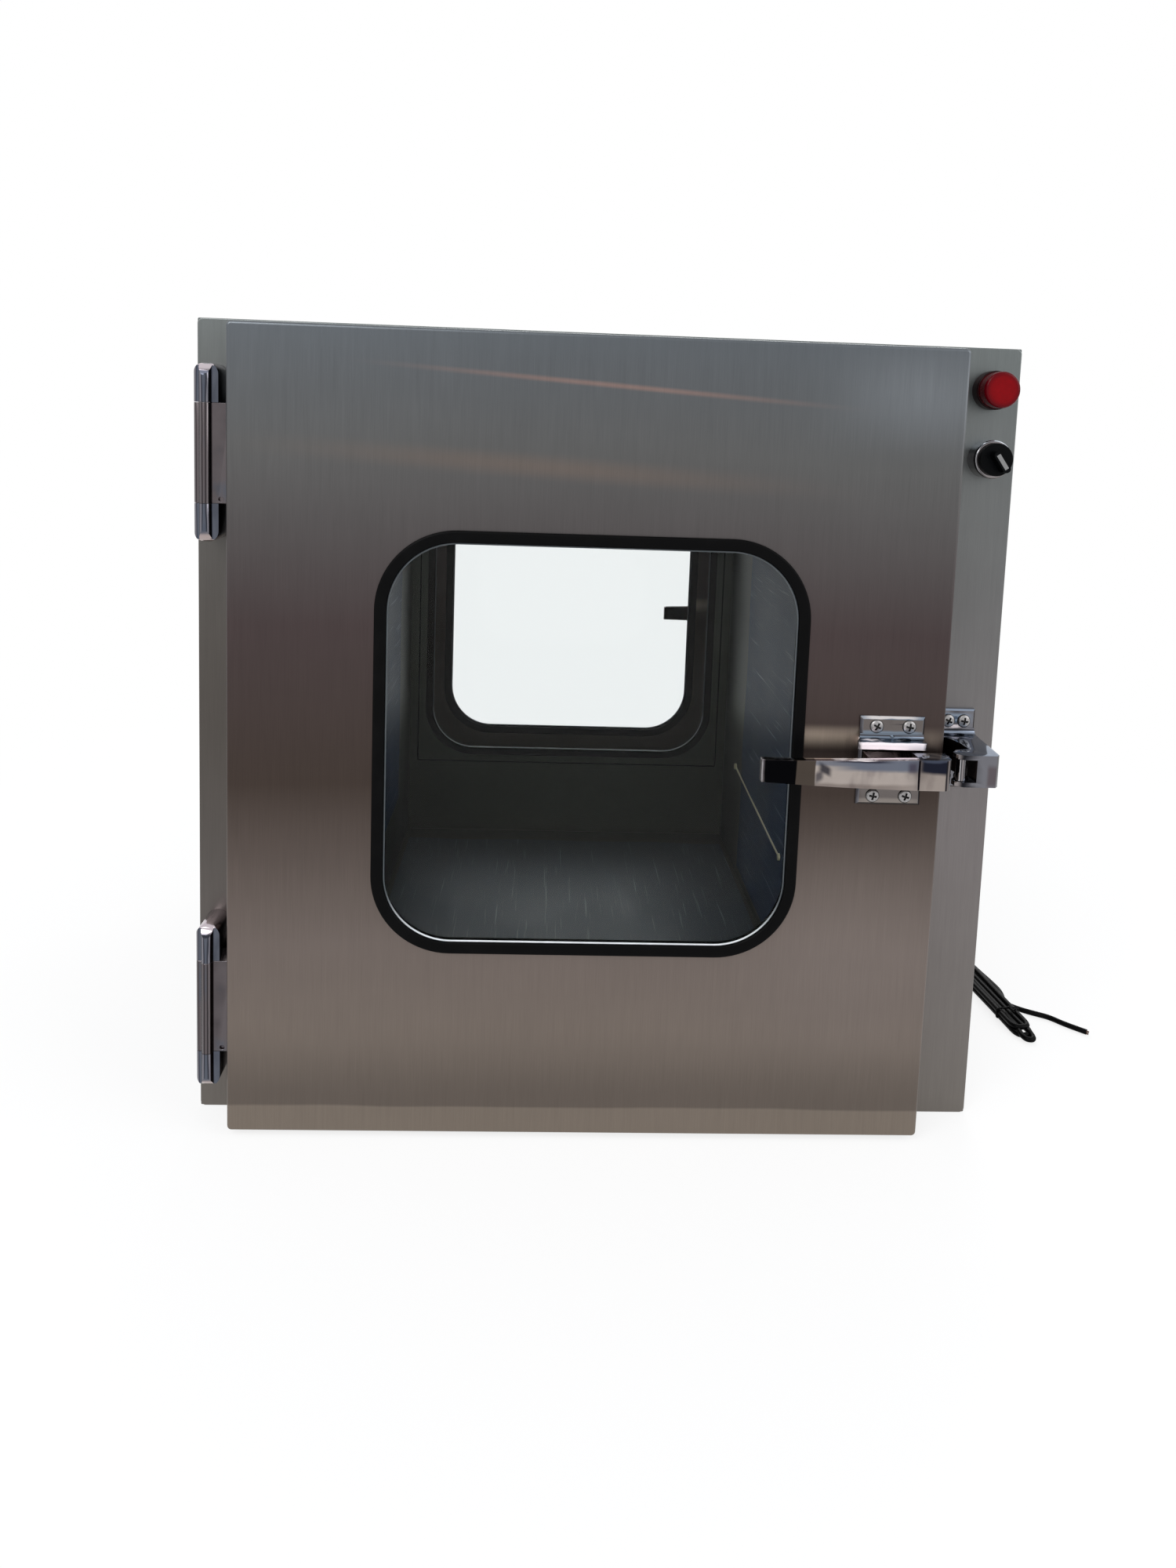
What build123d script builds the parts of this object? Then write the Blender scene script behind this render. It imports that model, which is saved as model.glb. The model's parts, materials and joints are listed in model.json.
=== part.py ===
"""Cleanroom pass box: a stainless transfer chamber with a glazed door on each of two opposite faces.

Millimetres, +Z up. The origin is at the middle of the cabinet's base. The front face looks towards -Y,
and the rear door set is the front one mirrored in the XZ plane. "out" is the distance that something
stands out from the cabinet face that it is on.
"""

import math
import os

from build123d import *

# ---- Cabinet ----
CABINET_WIDTH = 620.0
CABINET_DEPTH = 540.0
CABINET_HEIGHT = 620.0
SHEET = 1.5
FACE_CORNER_RADIUS = 4.0
EDGE_ROUND = 1.0

# ---- Chamber ----
CHAMBER_FRAME = 67.5
SERVICE_SPACE = 86.5
CHAMBER_FLOOR_Z = 33.5

# ---- Doors ----
HINGE_STRIP = 31.5
CONTROL_STRIP = 53.5
DOOR_THICKNESS = 40.0
DOOR_BOTTOM_GAP = 5.0
DOOR_TOP_GAP = 4.0
DOOR_EDGE_ROUND = 2.5
DOOR_CORNER_RADIUS = 3.5
SEAL_HEIGHT = 5.0
SEAL_WIDTH = 12.0
SEAL_SETBACK = 8.0
SEAL_CORNER_RADIUS = 16.0
SOFT_GAP = 0.3
WINDOW_SIZE = 321.0
WINDOW_RADIUS = 60.0
WINDOW_RISE = 1.0
GASKET_FACE = 9.0
GASKET_PROUD = 3.0
GASKET_METAL_GRIP = 4.5
GASKET_WEB = 2.5
INNER_GASKET_PROUD = 2.6
INNER_WINDOW_MARGIN = 20.0
GLASS = 5.0
PAD_MARGIN = 9.0
PAD_RISE = 1.4

# ---- Hinges ----
HINGE_AXIS_FROM_SIDE = 14.5
HINGE_AXIS_OUT = 24.0
HINGE_SPACING = 422.0
HINGE_LENGTH = 130.0
HINGE_BARREL = 73.0
HINGE_RIB_RADIUS = 4.5
HINGE_RIB_RISE = 0.5
HINGE_BODY_OUT = 29.0
HINGE_BODY_LEFT = 9.0
HINGE_BODY_RIGHT = 9.0
HINGE_PLATE = 3.0
HINGE_LEAF_BACK_OUT = 8.0
HINGE_DOME_RADIUS = 12.0
HINGE_SIDE_RADIUS = 8.6
HINGE_PIN_RADIUS = 3.0
HINGE_END_PLAY = 0.3
RUNNING_CLEARANCE = 0.06
SEAT_CLEARANCE = 0.02

# ---- Latch on each door ----
LATCH_FROM_DOOR_EDGE = 41.0
LATCH_Z = 308.5
LATCH_PLATE_WIDTH = 49.0
LATCH_PLATE_HEIGHT = 68.0
LATCH_PLATE = 3.5
LATCH_PLATE_BEVEL = 2.0
LATCH_SCREW_SPACING_X = 24.7
LATCH_SCREW_SPACING_Z = 53.4
LATCH_LIP = 5.7
LATCH_LIP_OUT = 54.0
LATCH_LIP_GAP = 23.6
LATCH_LIP_LEFT = 28.5
LATCH_LIP_RIGHT = 23.5
LATCH_COVE = 3.8
LATCH_END_ROUND = 2.0
LATCH_PIVOT_RIGHT = 18.5
LATCH_PIVOT_OUT = 66.0
LATCH_PIN_RADIUS = 2.5
LUG_RADIUS = 6.0
LUG_HEIGHT = 10.0
LUG_STEM_WIDTH = 8.5
LUG_SLOT_GAP = 0.3
LUG_SWING_GAP = 0.6
HANDLE_FRONT_OUT = 77.5
HANDLE_TIP_OUT = 74.0
HANDLE_THICKNESS = 7.0
HANDLE_LENGTH = 114.5
HANDLE_BASE_HEIGHT = 22.8
HANDLE_TIP_HEIGHT = 16.6
HANDLE_BOW = 2.5
HANDLE_EDGE_ROUND = 1.6
HANDLE_SEAM_RIGHT = 11.0
HANDLE_ROOT_LENGTH = 35.0
HANDLE_ROOT_BACK_OUT = 51.0
HANDLE_ROOT_HEIGHT = 19.0
HEAD_WIDTH = 24.0
HEAD_BACK_OUT = 58.0
HEAD_ROUND = 6.0
NOSE_HEIGHT = 14.0
NOSE_REACH = 23.4

# ---- Keeper on each cabinet face ----
KEEPER_FROM_DOOR_EDGE = 6.0
KEEPER_WIDTH = 30.5
KEEPER_HEIGHT = 63.0
KEEPER_PLATE = 4.0
KEEPER_ARM = 3.5
KEEPER_ARM_GAP = 17.0
KEEPER_RIDGE_OUT = 15.0
KEEPER_RIDGE = 6.0
KEEPER_COVE = 5.0
KEEPER_OUT = 65.0
KEEPER_BLOCK_LEFT = 10.5
KEEPER_EDGE_ROUND = 1.2
ROLLER_FROM_KEEPER = 0.6
ROLLER_OUT = 59.0
ROLLER_RADIUS = 3.8
ROLLER_AXLE_RADIUS = 1.8
ROLLER_END_PLAY = 0.5
KEEPER_SCREW_PLACES = [(9.3, 22.2), (21.7, 22.2), (9.3, -22.2), (21.7, -22.2)]

# ---- Screws ----
SCREW_HEAD_RADIUS = 5.2
SCREW_HEAD_HEIGHT = 2.4
SCREW_SHANK_RADIUS = 2.0
SCREW_LENGTH = 6.0
SCREW_HOLE_CLEARANCE = 0.1
CROSS_WIDTH = 1.2
CROSS_LENGTH = 5.6
CROSS_DEPTH = 1.2
COVER_SCREW_INSET_X = 14.0
COVER_SCREW_INSET_Y = 38.0
COVER_SCREWS_PER_SIDE = 4

# ---- Controls on the front face ----
CONTROL_FROM_SIDE = 22.0
LAMP_FROM_TOP = 32.0
SELECTOR_FROM_TOP = 84.0
PANEL_HOLE_RADIUS = 11.2
THREAD_RADIUS = 11.0
BODY_LENGTH = 42.0
BEZEL_RADIUS = 14.7
LAMP_BEZEL_OUT = 10.0
LENS_RADIUS = 13.6
LENS_OUT = 23.5
LENS_ROUND = 2.5
SELECTOR_BEZEL_OUT = 15.0
SELECTOR_BEZEL_ROUND = 2.0
KNOB_SPINDLE_RADIUS = 5.0
KNOB_SPINDLE_DEPTH = 8.0
KNOB_RADIUS = 12.4
KNOB_DISC = 5.6
KNOB_GAP = 0.4
KNOB_GRIP_WIDTH = 6.0
KNOB_GRIP_RISE = 9.0
KNOB_GRIP_BACK = 7.0
KNOB_GRIP_REACH = 10.8
KNOB_ANGLE = -55.0
POINTER_WIDTH = 3.0
POINTER_LENGTH = 12.6
POINTER_START = -4.6
POINTER_RISE = 0.4
NUT_RADIUS = 14.0
NUT_THICKNESS = 4.0

# ---- Ultraviolet lamp under the ceiling, with its ballast above ----
TUBE_RADIUS = 13.0
TUBE_LENGTH = 436.0
TUBE_DROP = 30.0
HOLDER_WIDTH = 34.0
HOLDER_DEPTH = 20.0
HOLDER_HEIGHT = 46.0
BALLAST_LENGTH = 220.0
BALLAST_WIDTH = 42.0
BALLAST_HEIGHT = 30.0

# ---- Thin wire along the chamber's right wall ----
WIRE_RADIUS = 1.0
WIRE_REAR = (177.0, 152.0)
WIRE_FRONT = (-79.0, 141.0)
GROMMET_RADIUS = 3.5
GROMMET_THICKNESS = 2.4

# ---- Mains lead, out of the right side ----
LEAD_RADIUS = 2.5
GLAND_Y = 160.0
GLAND_Z = 45.0
GLAND_HEX = 22.0
GLAND_HEX_THICKNESS = 5.0
GLAND_DOME_RADIUS = 9.0
GLAND_TIP_RADIUS = 5.0
GLAND_DOME_LENGTH = 10.0
GLAND_TAPER_LENGTH = 18.0
GLAND_TAPER_END_RADIUS = 3.3
GLAND_THREAD_RADIUS = 8.0
GLAND_THREAD_LENGTH = 9.0
GLAND_HOLE_CLEARANCE = 0.2
LEAD_POINTS = [
    (343.0, 160.0, 45.0),
    (357.0, 160.0, 45.0),
    (371.0, 157.0, 38.0),
    (382.0, 151.0, 24.0),
    (389.5, 141.0, 9.5),
    (394.5, 125.0, 2.9),
    (397.5, 106.0, 2.7),
    (398.2, 86.0, 2.7),
    (396.2, 64.0, 2.7),
    (393.9, 37.0, 2.7),
]
TAIL_POINTS = [
    (414.0, -95.0, 2.7),
    (424.0, -106.5, 2.7),
    (436.0, -114.5, 2.7),
    (448.5, -121.5, 2.7),
    (458.0, -134.5, 2.7),
    (472.5, -147.5, 2.7),
]
RUN_SHARE = 0.45
HANK_REAR = (393.5, 40.0)
HANK_FRONT = (412.0, -160.0)
HANK_WIDTH = 21.0
HANK_HEIGHT = 11.0
HANK_ROUND = 5.0

# ---- Worked out from the sizes above ----
FACE_Y = -CABINET_DEPTH / 2
SIDE_X = CABINET_WIDTH / 2
DOOR_LEFT = -SIDE_X + HINGE_STRIP
DOOR_RIGHT = SIDE_X - CONTROL_STRIP
DOOR_WIDTH = DOOR_RIGHT - DOOR_LEFT
CHAMBER_X = (DOOR_LEFT + DOOR_RIGHT) / 2
CHAMBER_LEFT = DOOR_LEFT + CHAMBER_FRAME
CHAMBER_RIGHT = DOOR_RIGHT - CHAMBER_FRAME
CHAMBER_WIDTH = CHAMBER_RIGHT - CHAMBER_LEFT
CHAMBER_TOP_Z = CABINET_HEIGHT - SERVICE_SPACE
CHAMBER_HEIGHT = CHAMBER_TOP_Z - CHAMBER_FLOOR_Z
DOOR_TOP = CABINET_HEIGHT - DOOR_TOP_GAP
DOOR_MIDDLE_Z = (DOOR_BOTTOM_GAP + DOOR_TOP) / 2
WINDOW_Z = DOOR_MIDDLE_Z + WINDOW_RISE
INNER_WINDOW_SIZE = WINDOW_SIZE + 2 * INNER_WINDOW_MARGIN
HINGE_X = -SIDE_X + HINGE_AXIS_FROM_SIDE
HINGE_ZS = [DOOR_MIDDLE_Z + HINGE_SPACING / 2, DOOR_MIDDLE_Z - HINGE_SPACING / 2]
LATCH_X = DOOR_RIGHT - LATCH_FROM_DOOR_EDGE
PIVOT_X = LATCH_X + LATCH_PIVOT_RIGHT
SEAM_X = LATCH_X + HANDLE_SEAM_RIGHT
KEEPER_LEFT = DOOR_RIGHT + KEEPER_FROM_DOOR_EDGE
KEEPER_RIGHT = KEEPER_LEFT + KEEPER_WIDTH
ROLLER_X = KEEPER_LEFT + ROLLER_FROM_KEEPER
CONTROL_X = SIDE_X - CONTROL_FROM_SIDE
LAMP_Z = CABINET_HEIGHT - LAMP_FROM_TOP
SELECTOR_Z = CABINET_HEIGHT - SELECTOR_FROM_TOP


def block(x_low, x_high, y_low, y_high, z_low, z_high):
    """A box between two corners."""
    size = (x_high - x_low, y_high - y_low, z_high - z_low)
    middle = ((x_low + x_high) / 2, (y_low + y_high) / 2, (z_low + z_high) / 2)
    return Pos(*middle) * Box(*size)


def front_block(x_low, x_high, out_low, out_high, z_low, z_high):
    """A box on the front face, between two distances out from it."""
    return block(x_low, x_high, FACE_Y - out_high, FACE_Y - out_low, z_low, z_high)


def front_plane(x, z, out):
    """The plane at a distance out from the front face, with its normal outwards and its x to the right."""
    return Plane(origin=(x, FACE_Y - out, z), x_dir=(1, 0, 0), z_dir=(0, -1, 0))


def front_disc(x, z, out_low, out_high, radius):
    """A round bar that stands out from the front face."""
    return extrude(front_plane(x, z, out_low) * Circle(radius), amount=out_high - out_low)


def front_slab(x, z, out_low, out_high, width, height, radius):
    """A plate with rounded corners, parallel to the front face."""
    outline = front_plane(x, z, out_low) * RectangleRounded(width, height, radius)
    return extrude(outline, amount=out_high - out_low)


def front_prism(points, z_low, z_high):
    """A plan outline of (x, out) points, extruded upwards."""
    corners = [(x, FACE_Y - out) for x, out in points]
    outline = make_face(Polyline(*corners, close=True))
    return Pos(0, 0, z_low) * extrude(outline, amount=z_high - z_low)


def cove_bar(x_low, x_high, face_out, ridge_out, up_low, up_high, cove):
    """A bar along the front above the latch line, with a hollow cove that runs from its top to the plate."""
    centre = (face_out + cove, up_high + cove)
    middle = (centre[0] - cove * math.sqrt(0.5), centre[1] - cove * math.sqrt(0.5))
    corners = Polyline(
        (face_out, up_high + cove),
        (face_out - 1, up_high + cove),
        (face_out - 1, up_low),
        (ridge_out, up_low),
        (ridge_out, up_high),
        (face_out + cove, up_high),
    )
    hollow = ThreePointArc((face_out + cove, up_high), middle, (face_out, up_high + cove))
    side = Plane(origin=(x_low, FACE_Y, LATCH_Z), x_dir=(0, -1, 0), z_dir=(-1, 0, 0))
    bar = extrude(side * make_face(Curve() + [corners, hollow]), amount=x_low - x_high)
    ends = bar.edges().filter_by(Axis.Z).group_by(Axis.Y)[0]
    return fillet(ends, min(LATCH_END_ROUND, (ridge_out - face_out) / 3))


def latch_line_mirror(shape):
    """The same shape below the latch line."""
    return mirror(shape, about=Plane(origin=(0, 0, LATCH_Z), z_dir=(0, 0, 1)))


def upright_bar(x, out, z_low, z_high, radius):
    """A vertical round bar at a distance out from the front face."""
    bar = Cylinder(radius, z_high - z_low)
    return Pos(x, FACE_Y - out, (z_low + z_high) / 2) * bar


def rear(shape):
    """The rear copy of a front piece."""
    return mirror(shape, about=Plane.XZ)


def group(shapes):
    """Several separate solids as one node."""
    return Compound(children=[solid for shape in shapes for solid in shape.solids()])


def screw(plane):
    """A cross-recessed pan-head screw whose head sits on the plane and whose shank goes under it."""
    head = extrude(plane * Circle(SCREW_HEAD_RADIUS), amount=SCREW_HEAD_HEIGHT)
    rim = head.edges().filter_by(GeomType.CIRCLE).sort_by(lambda edge: plane.to_local_coords(edge.center()).Z)
    head = fillet(rim[-1], SCREW_HEAD_HEIGHT * 0.6)
    shank = extrude(plane * Circle(SCREW_SHANK_RADIUS), amount=-SCREW_LENGTH)
    top = plane.offset(SCREW_HEAD_HEIGHT - CROSS_DEPTH)
    cross = extrude(top * Rectangle(CROSS_LENGTH, CROSS_WIDTH), amount=CROSS_DEPTH * 2)
    cross += extrude(top * Rectangle(CROSS_WIDTH, CROSS_LENGTH), amount=CROSS_DEPTH * 2)
    return head + shank - cross


# ---- Cabinet ----


def face_frame():
    """The front face sheet, with the chamber's mouth cut in it."""
    plate = front_slab(0, CABINET_HEIGHT / 2, -SHEET, 0, CABINET_WIDTH, CABINET_HEIGHT, FACE_CORNER_RADIUS)
    mouth = front_block(CHAMBER_LEFT, CHAMBER_RIGHT, -2 * SHEET, SHEET, CHAMBER_FLOOR_Z, CHAMBER_TOP_Z)
    outer = plate.faces().sort_by(Axis.Y)[0]
    return fillet(outer.edges(), EDGE_ROUND) - mouth


def keeper_holes():
    """The keeper's screw holes, as bars to cut from the face and the keeper."""
    radius = SCREW_SHANK_RADIUS + SCREW_HOLE_CLEARANCE
    return [
        front_disc(KEEPER_LEFT + across, LATCH_Z + up, -2 * SHEET, KEEPER_PLATE + 1, radius)
        for across, up in KEEPER_SCREW_PLACES
    ]


def cover_screw_places():
    """Where the top cover's screws go, as (x, y)."""
    places = []
    half_x = CABINET_WIDTH / 2 - COVER_SCREW_INSET_X
    half_y = CABINET_DEPTH / 2 - COVER_SCREW_INSET_Y
    for index in range(COVER_SCREWS_PER_SIDE):
        along = -half_y + 2 * half_y * index / (COVER_SCREWS_PER_SIDE - 1)
        places += [(-half_x, along), (half_x, along)]
    return places


def cabinet():
    """The outer sheets of the cabinet and the four sheets of the chamber."""
    inner_y = CABINET_DEPTH / 2 - SHEET
    nodes = {}
    plain_face = face_frame()
    for hole in keeper_holes():
        plain_face -= hole
    nodes["rear_face_frame"] = rear(plain_face)
    for z in (LAMP_Z, SELECTOR_Z):
        plain_face -= front_disc(CONTROL_X, z, -2 * SHEET, SHEET, PANEL_HOLE_RADIUS)
    nodes["front_face_frame"] = plain_face

    side = block(SIDE_X - SHEET, SIDE_X, -inner_y, inner_y, SHEET, CABINET_HEIGHT - SHEET)
    gland_hole = Pos(SIDE_X, GLAND_Y, GLAND_Z) * Rot(0, 90, 0)
    gland_hole *= Cylinder(GLAND_THREAD_RADIUS + GLAND_HOLE_CLEARANCE, 4 * SHEET)
    nodes["right_side_panel"] = side - gland_hole
    nodes["left_side_panel"] = mirror(side, about=Plane.YZ)

    cover = block(-SIDE_X, SIDE_X, -inner_y, inner_y, CABINET_HEIGHT - SHEET, CABINET_HEIGHT)
    long_edges = cover.edges().filter_by(Axis.Y).group_by(Axis.Z)[-1]
    cover = fillet(long_edges, EDGE_ROUND)
    for x, y in cover_screw_places():
        hole = Cylinder(SCREW_SHANK_RADIUS + SCREW_HOLE_CLEARANCE, 4 * SHEET)
        cover -= Pos(x, y, CABINET_HEIGHT) * hole
    nodes["top_cover"] = cover
    nodes["cover_screws"] = group(
        screw(Plane(origin=(x, y, CABINET_HEIGHT), x_dir=(1, 0, 0), z_dir=(0, 0, 1)))
        for x, y in cover_screw_places()
    )
    base = block(-SIDE_X, SIDE_X, -inner_y, inner_y, 0, SHEET)
    low_edges = base.edges().filter_by(Axis.Y).group_by(Axis.Z)[0]
    nodes["bottom_panel"] = fillet(low_edges, EDGE_ROUND)

    left, right = CHAMBER_LEFT - SHEET, CHAMBER_RIGHT + SHEET
    low, high = CHAMBER_FLOOR_Z, CHAMBER_TOP_Z
    nodes["chamber_floor"] = block(left, right, -inner_y, inner_y, low - SHEET, low)
    nodes["chamber_ceiling"] = block(left, right, -inner_y, inner_y, high, high + SHEET)
    nodes["chamber_left_wall"] = block(left, CHAMBER_LEFT, -inner_y, inner_y, low, high)
    nodes["chamber_right_wall"] = block(CHAMBER_RIGHT, right, -inner_y, inner_y, low, high)
    return nodes


def ultraviolet_lamp():
    """The germicidal tube, its two end holders under the ceiling and its ballast above it."""
    tube_z = CHAMBER_TOP_Z - TUBE_DROP
    tube = Pos(CHAMBER_X, 0, tube_z) * Rot(90, 0, 0) * Cylinder(TUBE_RADIUS, TUBE_LENGTH)
    ends = []
    for side in (-1, 1):
        y_near = side * TUBE_LENGTH / 2
        y_far = side * (TUBE_LENGTH / 2 + HOLDER_DEPTH)
        ends.append(
            block(
                CHAMBER_X - HOLDER_WIDTH / 2,
                CHAMBER_X + HOLDER_WIDTH / 2,
                min(y_near, y_far),
                max(y_near, y_far),
                CHAMBER_TOP_Z - HOLDER_HEIGHT,
                CHAMBER_TOP_Z,
            )
        )
    ballast_z = CHAMBER_TOP_Z + SHEET
    ballast = block(
        CHAMBER_X - BALLAST_WIDTH / 2,
        CHAMBER_X + BALLAST_WIDTH / 2,
        -BALLAST_LENGTH / 2,
        BALLAST_LENGTH / 2,
        ballast_z,
        ballast_z + BALLAST_HEIGHT,
    )
    return {
        "ultraviolet_tube": tube,
        "tube_holders": group(ends),
        "lamp_ballast": fillet(ballast.faces().sort_by(Axis.Z)[-1].edges(), 2),
    }


def chamber_wire():
    """A thin wire that runs along the right wall between two grommets."""
    wall_x = CHAMBER_RIGHT
    start = Vector(wall_x - WIRE_RADIUS, *WIRE_REAR)
    end = Vector(wall_x - WIRE_RADIUS, *WIRE_FRONT)
    direction = (end - start).normalized()
    pieces = []
    for middle in (start, end):
        ring = Pos(wall_x - GROMMET_THICKNESS / 2, middle.Y, middle.Z) * Rot(0, 90, 0)
        pieces.append(ring * Cylinder(GROMMET_RADIUS, GROMMET_THICKNESS))
    wire_start = start + direction * GROMMET_RADIUS
    length = (end - start).length - 2 * GROMMET_RADIUS
    wire = extrude(Plane(origin=wire_start, z_dir=direction) * Circle(WIRE_RADIUS), amount=length)
    wire -= group(pieces)
    return {"chamber_wire": group([wire, *pieces])}


# ---- Door ----


def rounded_ring(out_low, out_high, outer, inner, outer_radius):
    """A square ring with rounded corners round the window's middle."""
    inner_radius = outer_radius - (outer - inner) / 2
    ring = front_slab(CHAMBER_X, WINDOW_Z, out_low, out_high, outer, outer, outer_radius)
    hole = front_slab(CHAMBER_X, WINDOW_Z, out_low - 1, out_high + 1, inner, inner, inner_radius)
    return ring - hole


def window_slab(out_low, out_high, window, inset):
    """A rounded square plate that lies in a window, inset from the gasket's outline."""
    size = window - 2 * inset
    return front_slab(CHAMBER_X, WINDOW_Z, out_low, out_high, size, size, WINDOW_RADIUS - inset)


def pane(out_low, out_high, window):
    """The glass that a gasket of the given size holds."""
    return window_slab(out_low, out_high, window, GASKET_METAL_GRIP + GASKET_WEB)


def gasket(window, lip_low, lip_high, sheet_low, sheet_high, glass_low, glass_high):
    """A glazing gasket: a ring with a slot for the door's sheet and a slot for the pane."""
    hole = window - 2 * GASKET_METAL_GRIP
    ring = rounded_ring(lip_low, lip_high, window, window - 2 * GASKET_FACE, WINDOW_RADIUS)
    sheet = rounded_ring(sheet_low, sheet_high, window + 4, hole, WINDOW_RADIUS + 2)
    return ring - sheet - pane(glass_low, glass_high, window)


def door_panels():
    """The door's skin, back pan, panes, gaskets and closing seal."""
    nodes = {}
    height = DOOR_TOP - DOOR_BOTTOM_GAP
    shell = front_slab(
        CHAMBER_X, DOOR_MIDDLE_Z, SEAL_HEIGHT, DOOR_THICKNESS, DOOR_WIDTH, height, DOOR_CORNER_RADIUS
    )
    outer_face = shell.faces().sort_by(Axis.Y)[0]
    shell = fillet(outer_face.edges(), DOOR_EDGE_ROUND)
    hollow = front_block(
        DOOR_LEFT + SHEET,
        DOOR_RIGHT - SHEET,
        0,
        DOOR_THICKNESS - SHEET,
        DOOR_BOTTOM_GAP + SHEET,
        DOOR_TOP - SHEET,
    )
    skin = shell - hollow - window_slab(0, DOOR_THICKNESS + 1, WINDOW_SIZE, GASKET_METAL_GRIP)
    for x, z in latch_screw_places():
        skin -= front_disc(x, z, 0, DOOR_THICKNESS + 1, SCREW_SHANK_RADIUS + SCREW_HOLE_CLEARANCE)
    nodes["door_skin"] = skin

    pan = front_slab(
        CHAMBER_X,
        DOOR_MIDDLE_Z,
        SEAL_HEIGHT,
        SEAL_HEIGHT + SHEET,
        DOOR_WIDTH - 2 * SHEET,
        height - 2 * SHEET,
        EDGE_ROUND / 10,
    )
    pad_size = INNER_WINDOW_SIZE + 2 * PAD_MARGIN
    pad_out = SEAL_HEIGHT - PAD_RISE
    pan += front_slab(CHAMBER_X, WINDOW_Z, pad_out, SEAL_HEIGHT, pad_size, pad_size, EDGE_ROUND)
    nodes["door_back_pan"] = pan - window_slab(
        0, DOOR_THICKNESS, INNER_WINDOW_SIZE, GASKET_METAL_GRIP
    )

    outer_glass_out = DOOR_THICKNESS - SOFT_GAP
    nodes["outer_pane"] = pane(outer_glass_out - GLASS, outer_glass_out, WINDOW_SIZE)
    nodes["outer_gasket"] = gasket(
        WINDOW_SIZE,
        outer_glass_out - GLASS - GASKET_PROUD,
        DOOR_THICKNESS + GASKET_PROUD,
        DOOR_THICKNESS - SHEET,
        DOOR_THICKNESS,
        outer_glass_out - GLASS,
        outer_glass_out,
    )
    inner_glass_out = pad_out + SOFT_GAP
    nodes["inner_pane"] = pane(inner_glass_out, inner_glass_out + GLASS, INNER_WINDOW_SIZE)
    nodes["inner_gasket"] = gasket(
        INNER_WINDOW_SIZE,
        pad_out - INNER_GASKET_PROUD,
        inner_glass_out + GLASS + GASKET_PROUD,
        pad_out,
        SEAL_HEIGHT + SHEET,
        inner_glass_out,
        inner_glass_out + GLASS,
    )

    middle_z = CHAMBER_FLOOR_Z + CHAMBER_HEIGHT / 2
    inner_width = CHAMBER_WIDTH + 2 * SEAL_SETBACK
    inner_height = CHAMBER_HEIGHT + 2 * SEAL_SETBACK
    seal = front_slab(
        CHAMBER_X,
        middle_z,
        SOFT_GAP,
        SEAL_HEIGHT,
        inner_width + 2 * SEAL_WIDTH,
        inner_height + 2 * SEAL_WIDTH,
        SEAL_CORNER_RADIUS,
    )
    seal -= front_slab(
        CHAMBER_X, middle_z, 0, SEAL_HEIGHT + 1, inner_width, inner_height, SEAL_CORNER_RADIUS - SEAL_WIDTH
    )
    nodes["door_seal"] = seal
    return nodes


# ---- Hinges ----


def hinge_body(z_low, z_high, out_low, right):
    """A length of hinge casting: a flat body with a round rib in front, over the hinge axis."""
    body = front_block(HINGE_X - HINGE_BODY_LEFT, right, out_low, HINGE_BODY_OUT, z_low, z_high)
    left_front = body.edges().filter_by(Axis.Z).group_by(Axis.Y)[0].sort_by(Axis.X)[0]
    body = fillet(left_front, HINGE_PLATE)
    return body + upright_bar(HINGE_X, HINGE_BODY_OUT + HINGE_RIB_RISE, z_low, z_high, HINGE_RIB_RADIUS)


def hinge_dome(z, direction):
    """The space that a domed end knuckle fills, from the barrel's end out to the hinge's end."""
    z_end = z + direction * HINGE_LENGTH / 2
    depth = HINGE_BODY_OUT + HINGE_RIB_RISE + HINGE_RIB_RADIUS
    length = HINGE_LENGTH
    side_view = Plane(origin=(HINGE_X, FACE_Y, z_end), x_dir=(0, -1, 0), z_dir=(1, 0, 0))
    outline = side_view * Pos(0, -length / 2 if direction * side_view.y_dir.Z > 0 else length / 2)
    outline *= RectangleRounded(2 * depth, length, HINGE_DOME_RADIUS)
    lengthwise = extrude(outline, amount=2 * depth, both=True)
    front_view = front_plane(HINGE_X + (HINGE_BODY_RIGHT - HINGE_BODY_LEFT) / 2, z_end, -1)
    width = HINGE_BODY_LEFT + HINGE_BODY_RIGHT
    upright = front_view * Pos(0, -direction * length / 2) * RectangleRounded(width, length, HINGE_SIDE_RADIUS)
    return lengthwise & extrude(upright, amount=2 * depth)


def hinge_frame_half(z):
    """The cabinet's half: a plate on the face with a domed knuckle at each end."""
    right = HINGE_X + HINGE_BODY_RIGHT
    half, barrel = HINGE_LENGTH / 2, HINGE_BARREL / 2
    plate = front_block(
        HINGE_X - HINGE_BODY_LEFT, right, 0, HINGE_PLATE, z - half + HINGE_SIDE_RADIUS, z + half - HINGE_SIDE_RADIUS
    )
    top = hinge_body(z + barrel, z + half, 0, right) & hinge_dome(z, 1)
    bottom = hinge_body(z - half, z - barrel, 0, right) & hinge_dome(z, -1)
    hole = upright_bar(HINGE_X, HINGE_AXIS_OUT, z - half + 4, z + half - 4, HINGE_PIN_RADIUS + SEAT_CLEARANCE)
    return plate + top + bottom - hole


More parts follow.
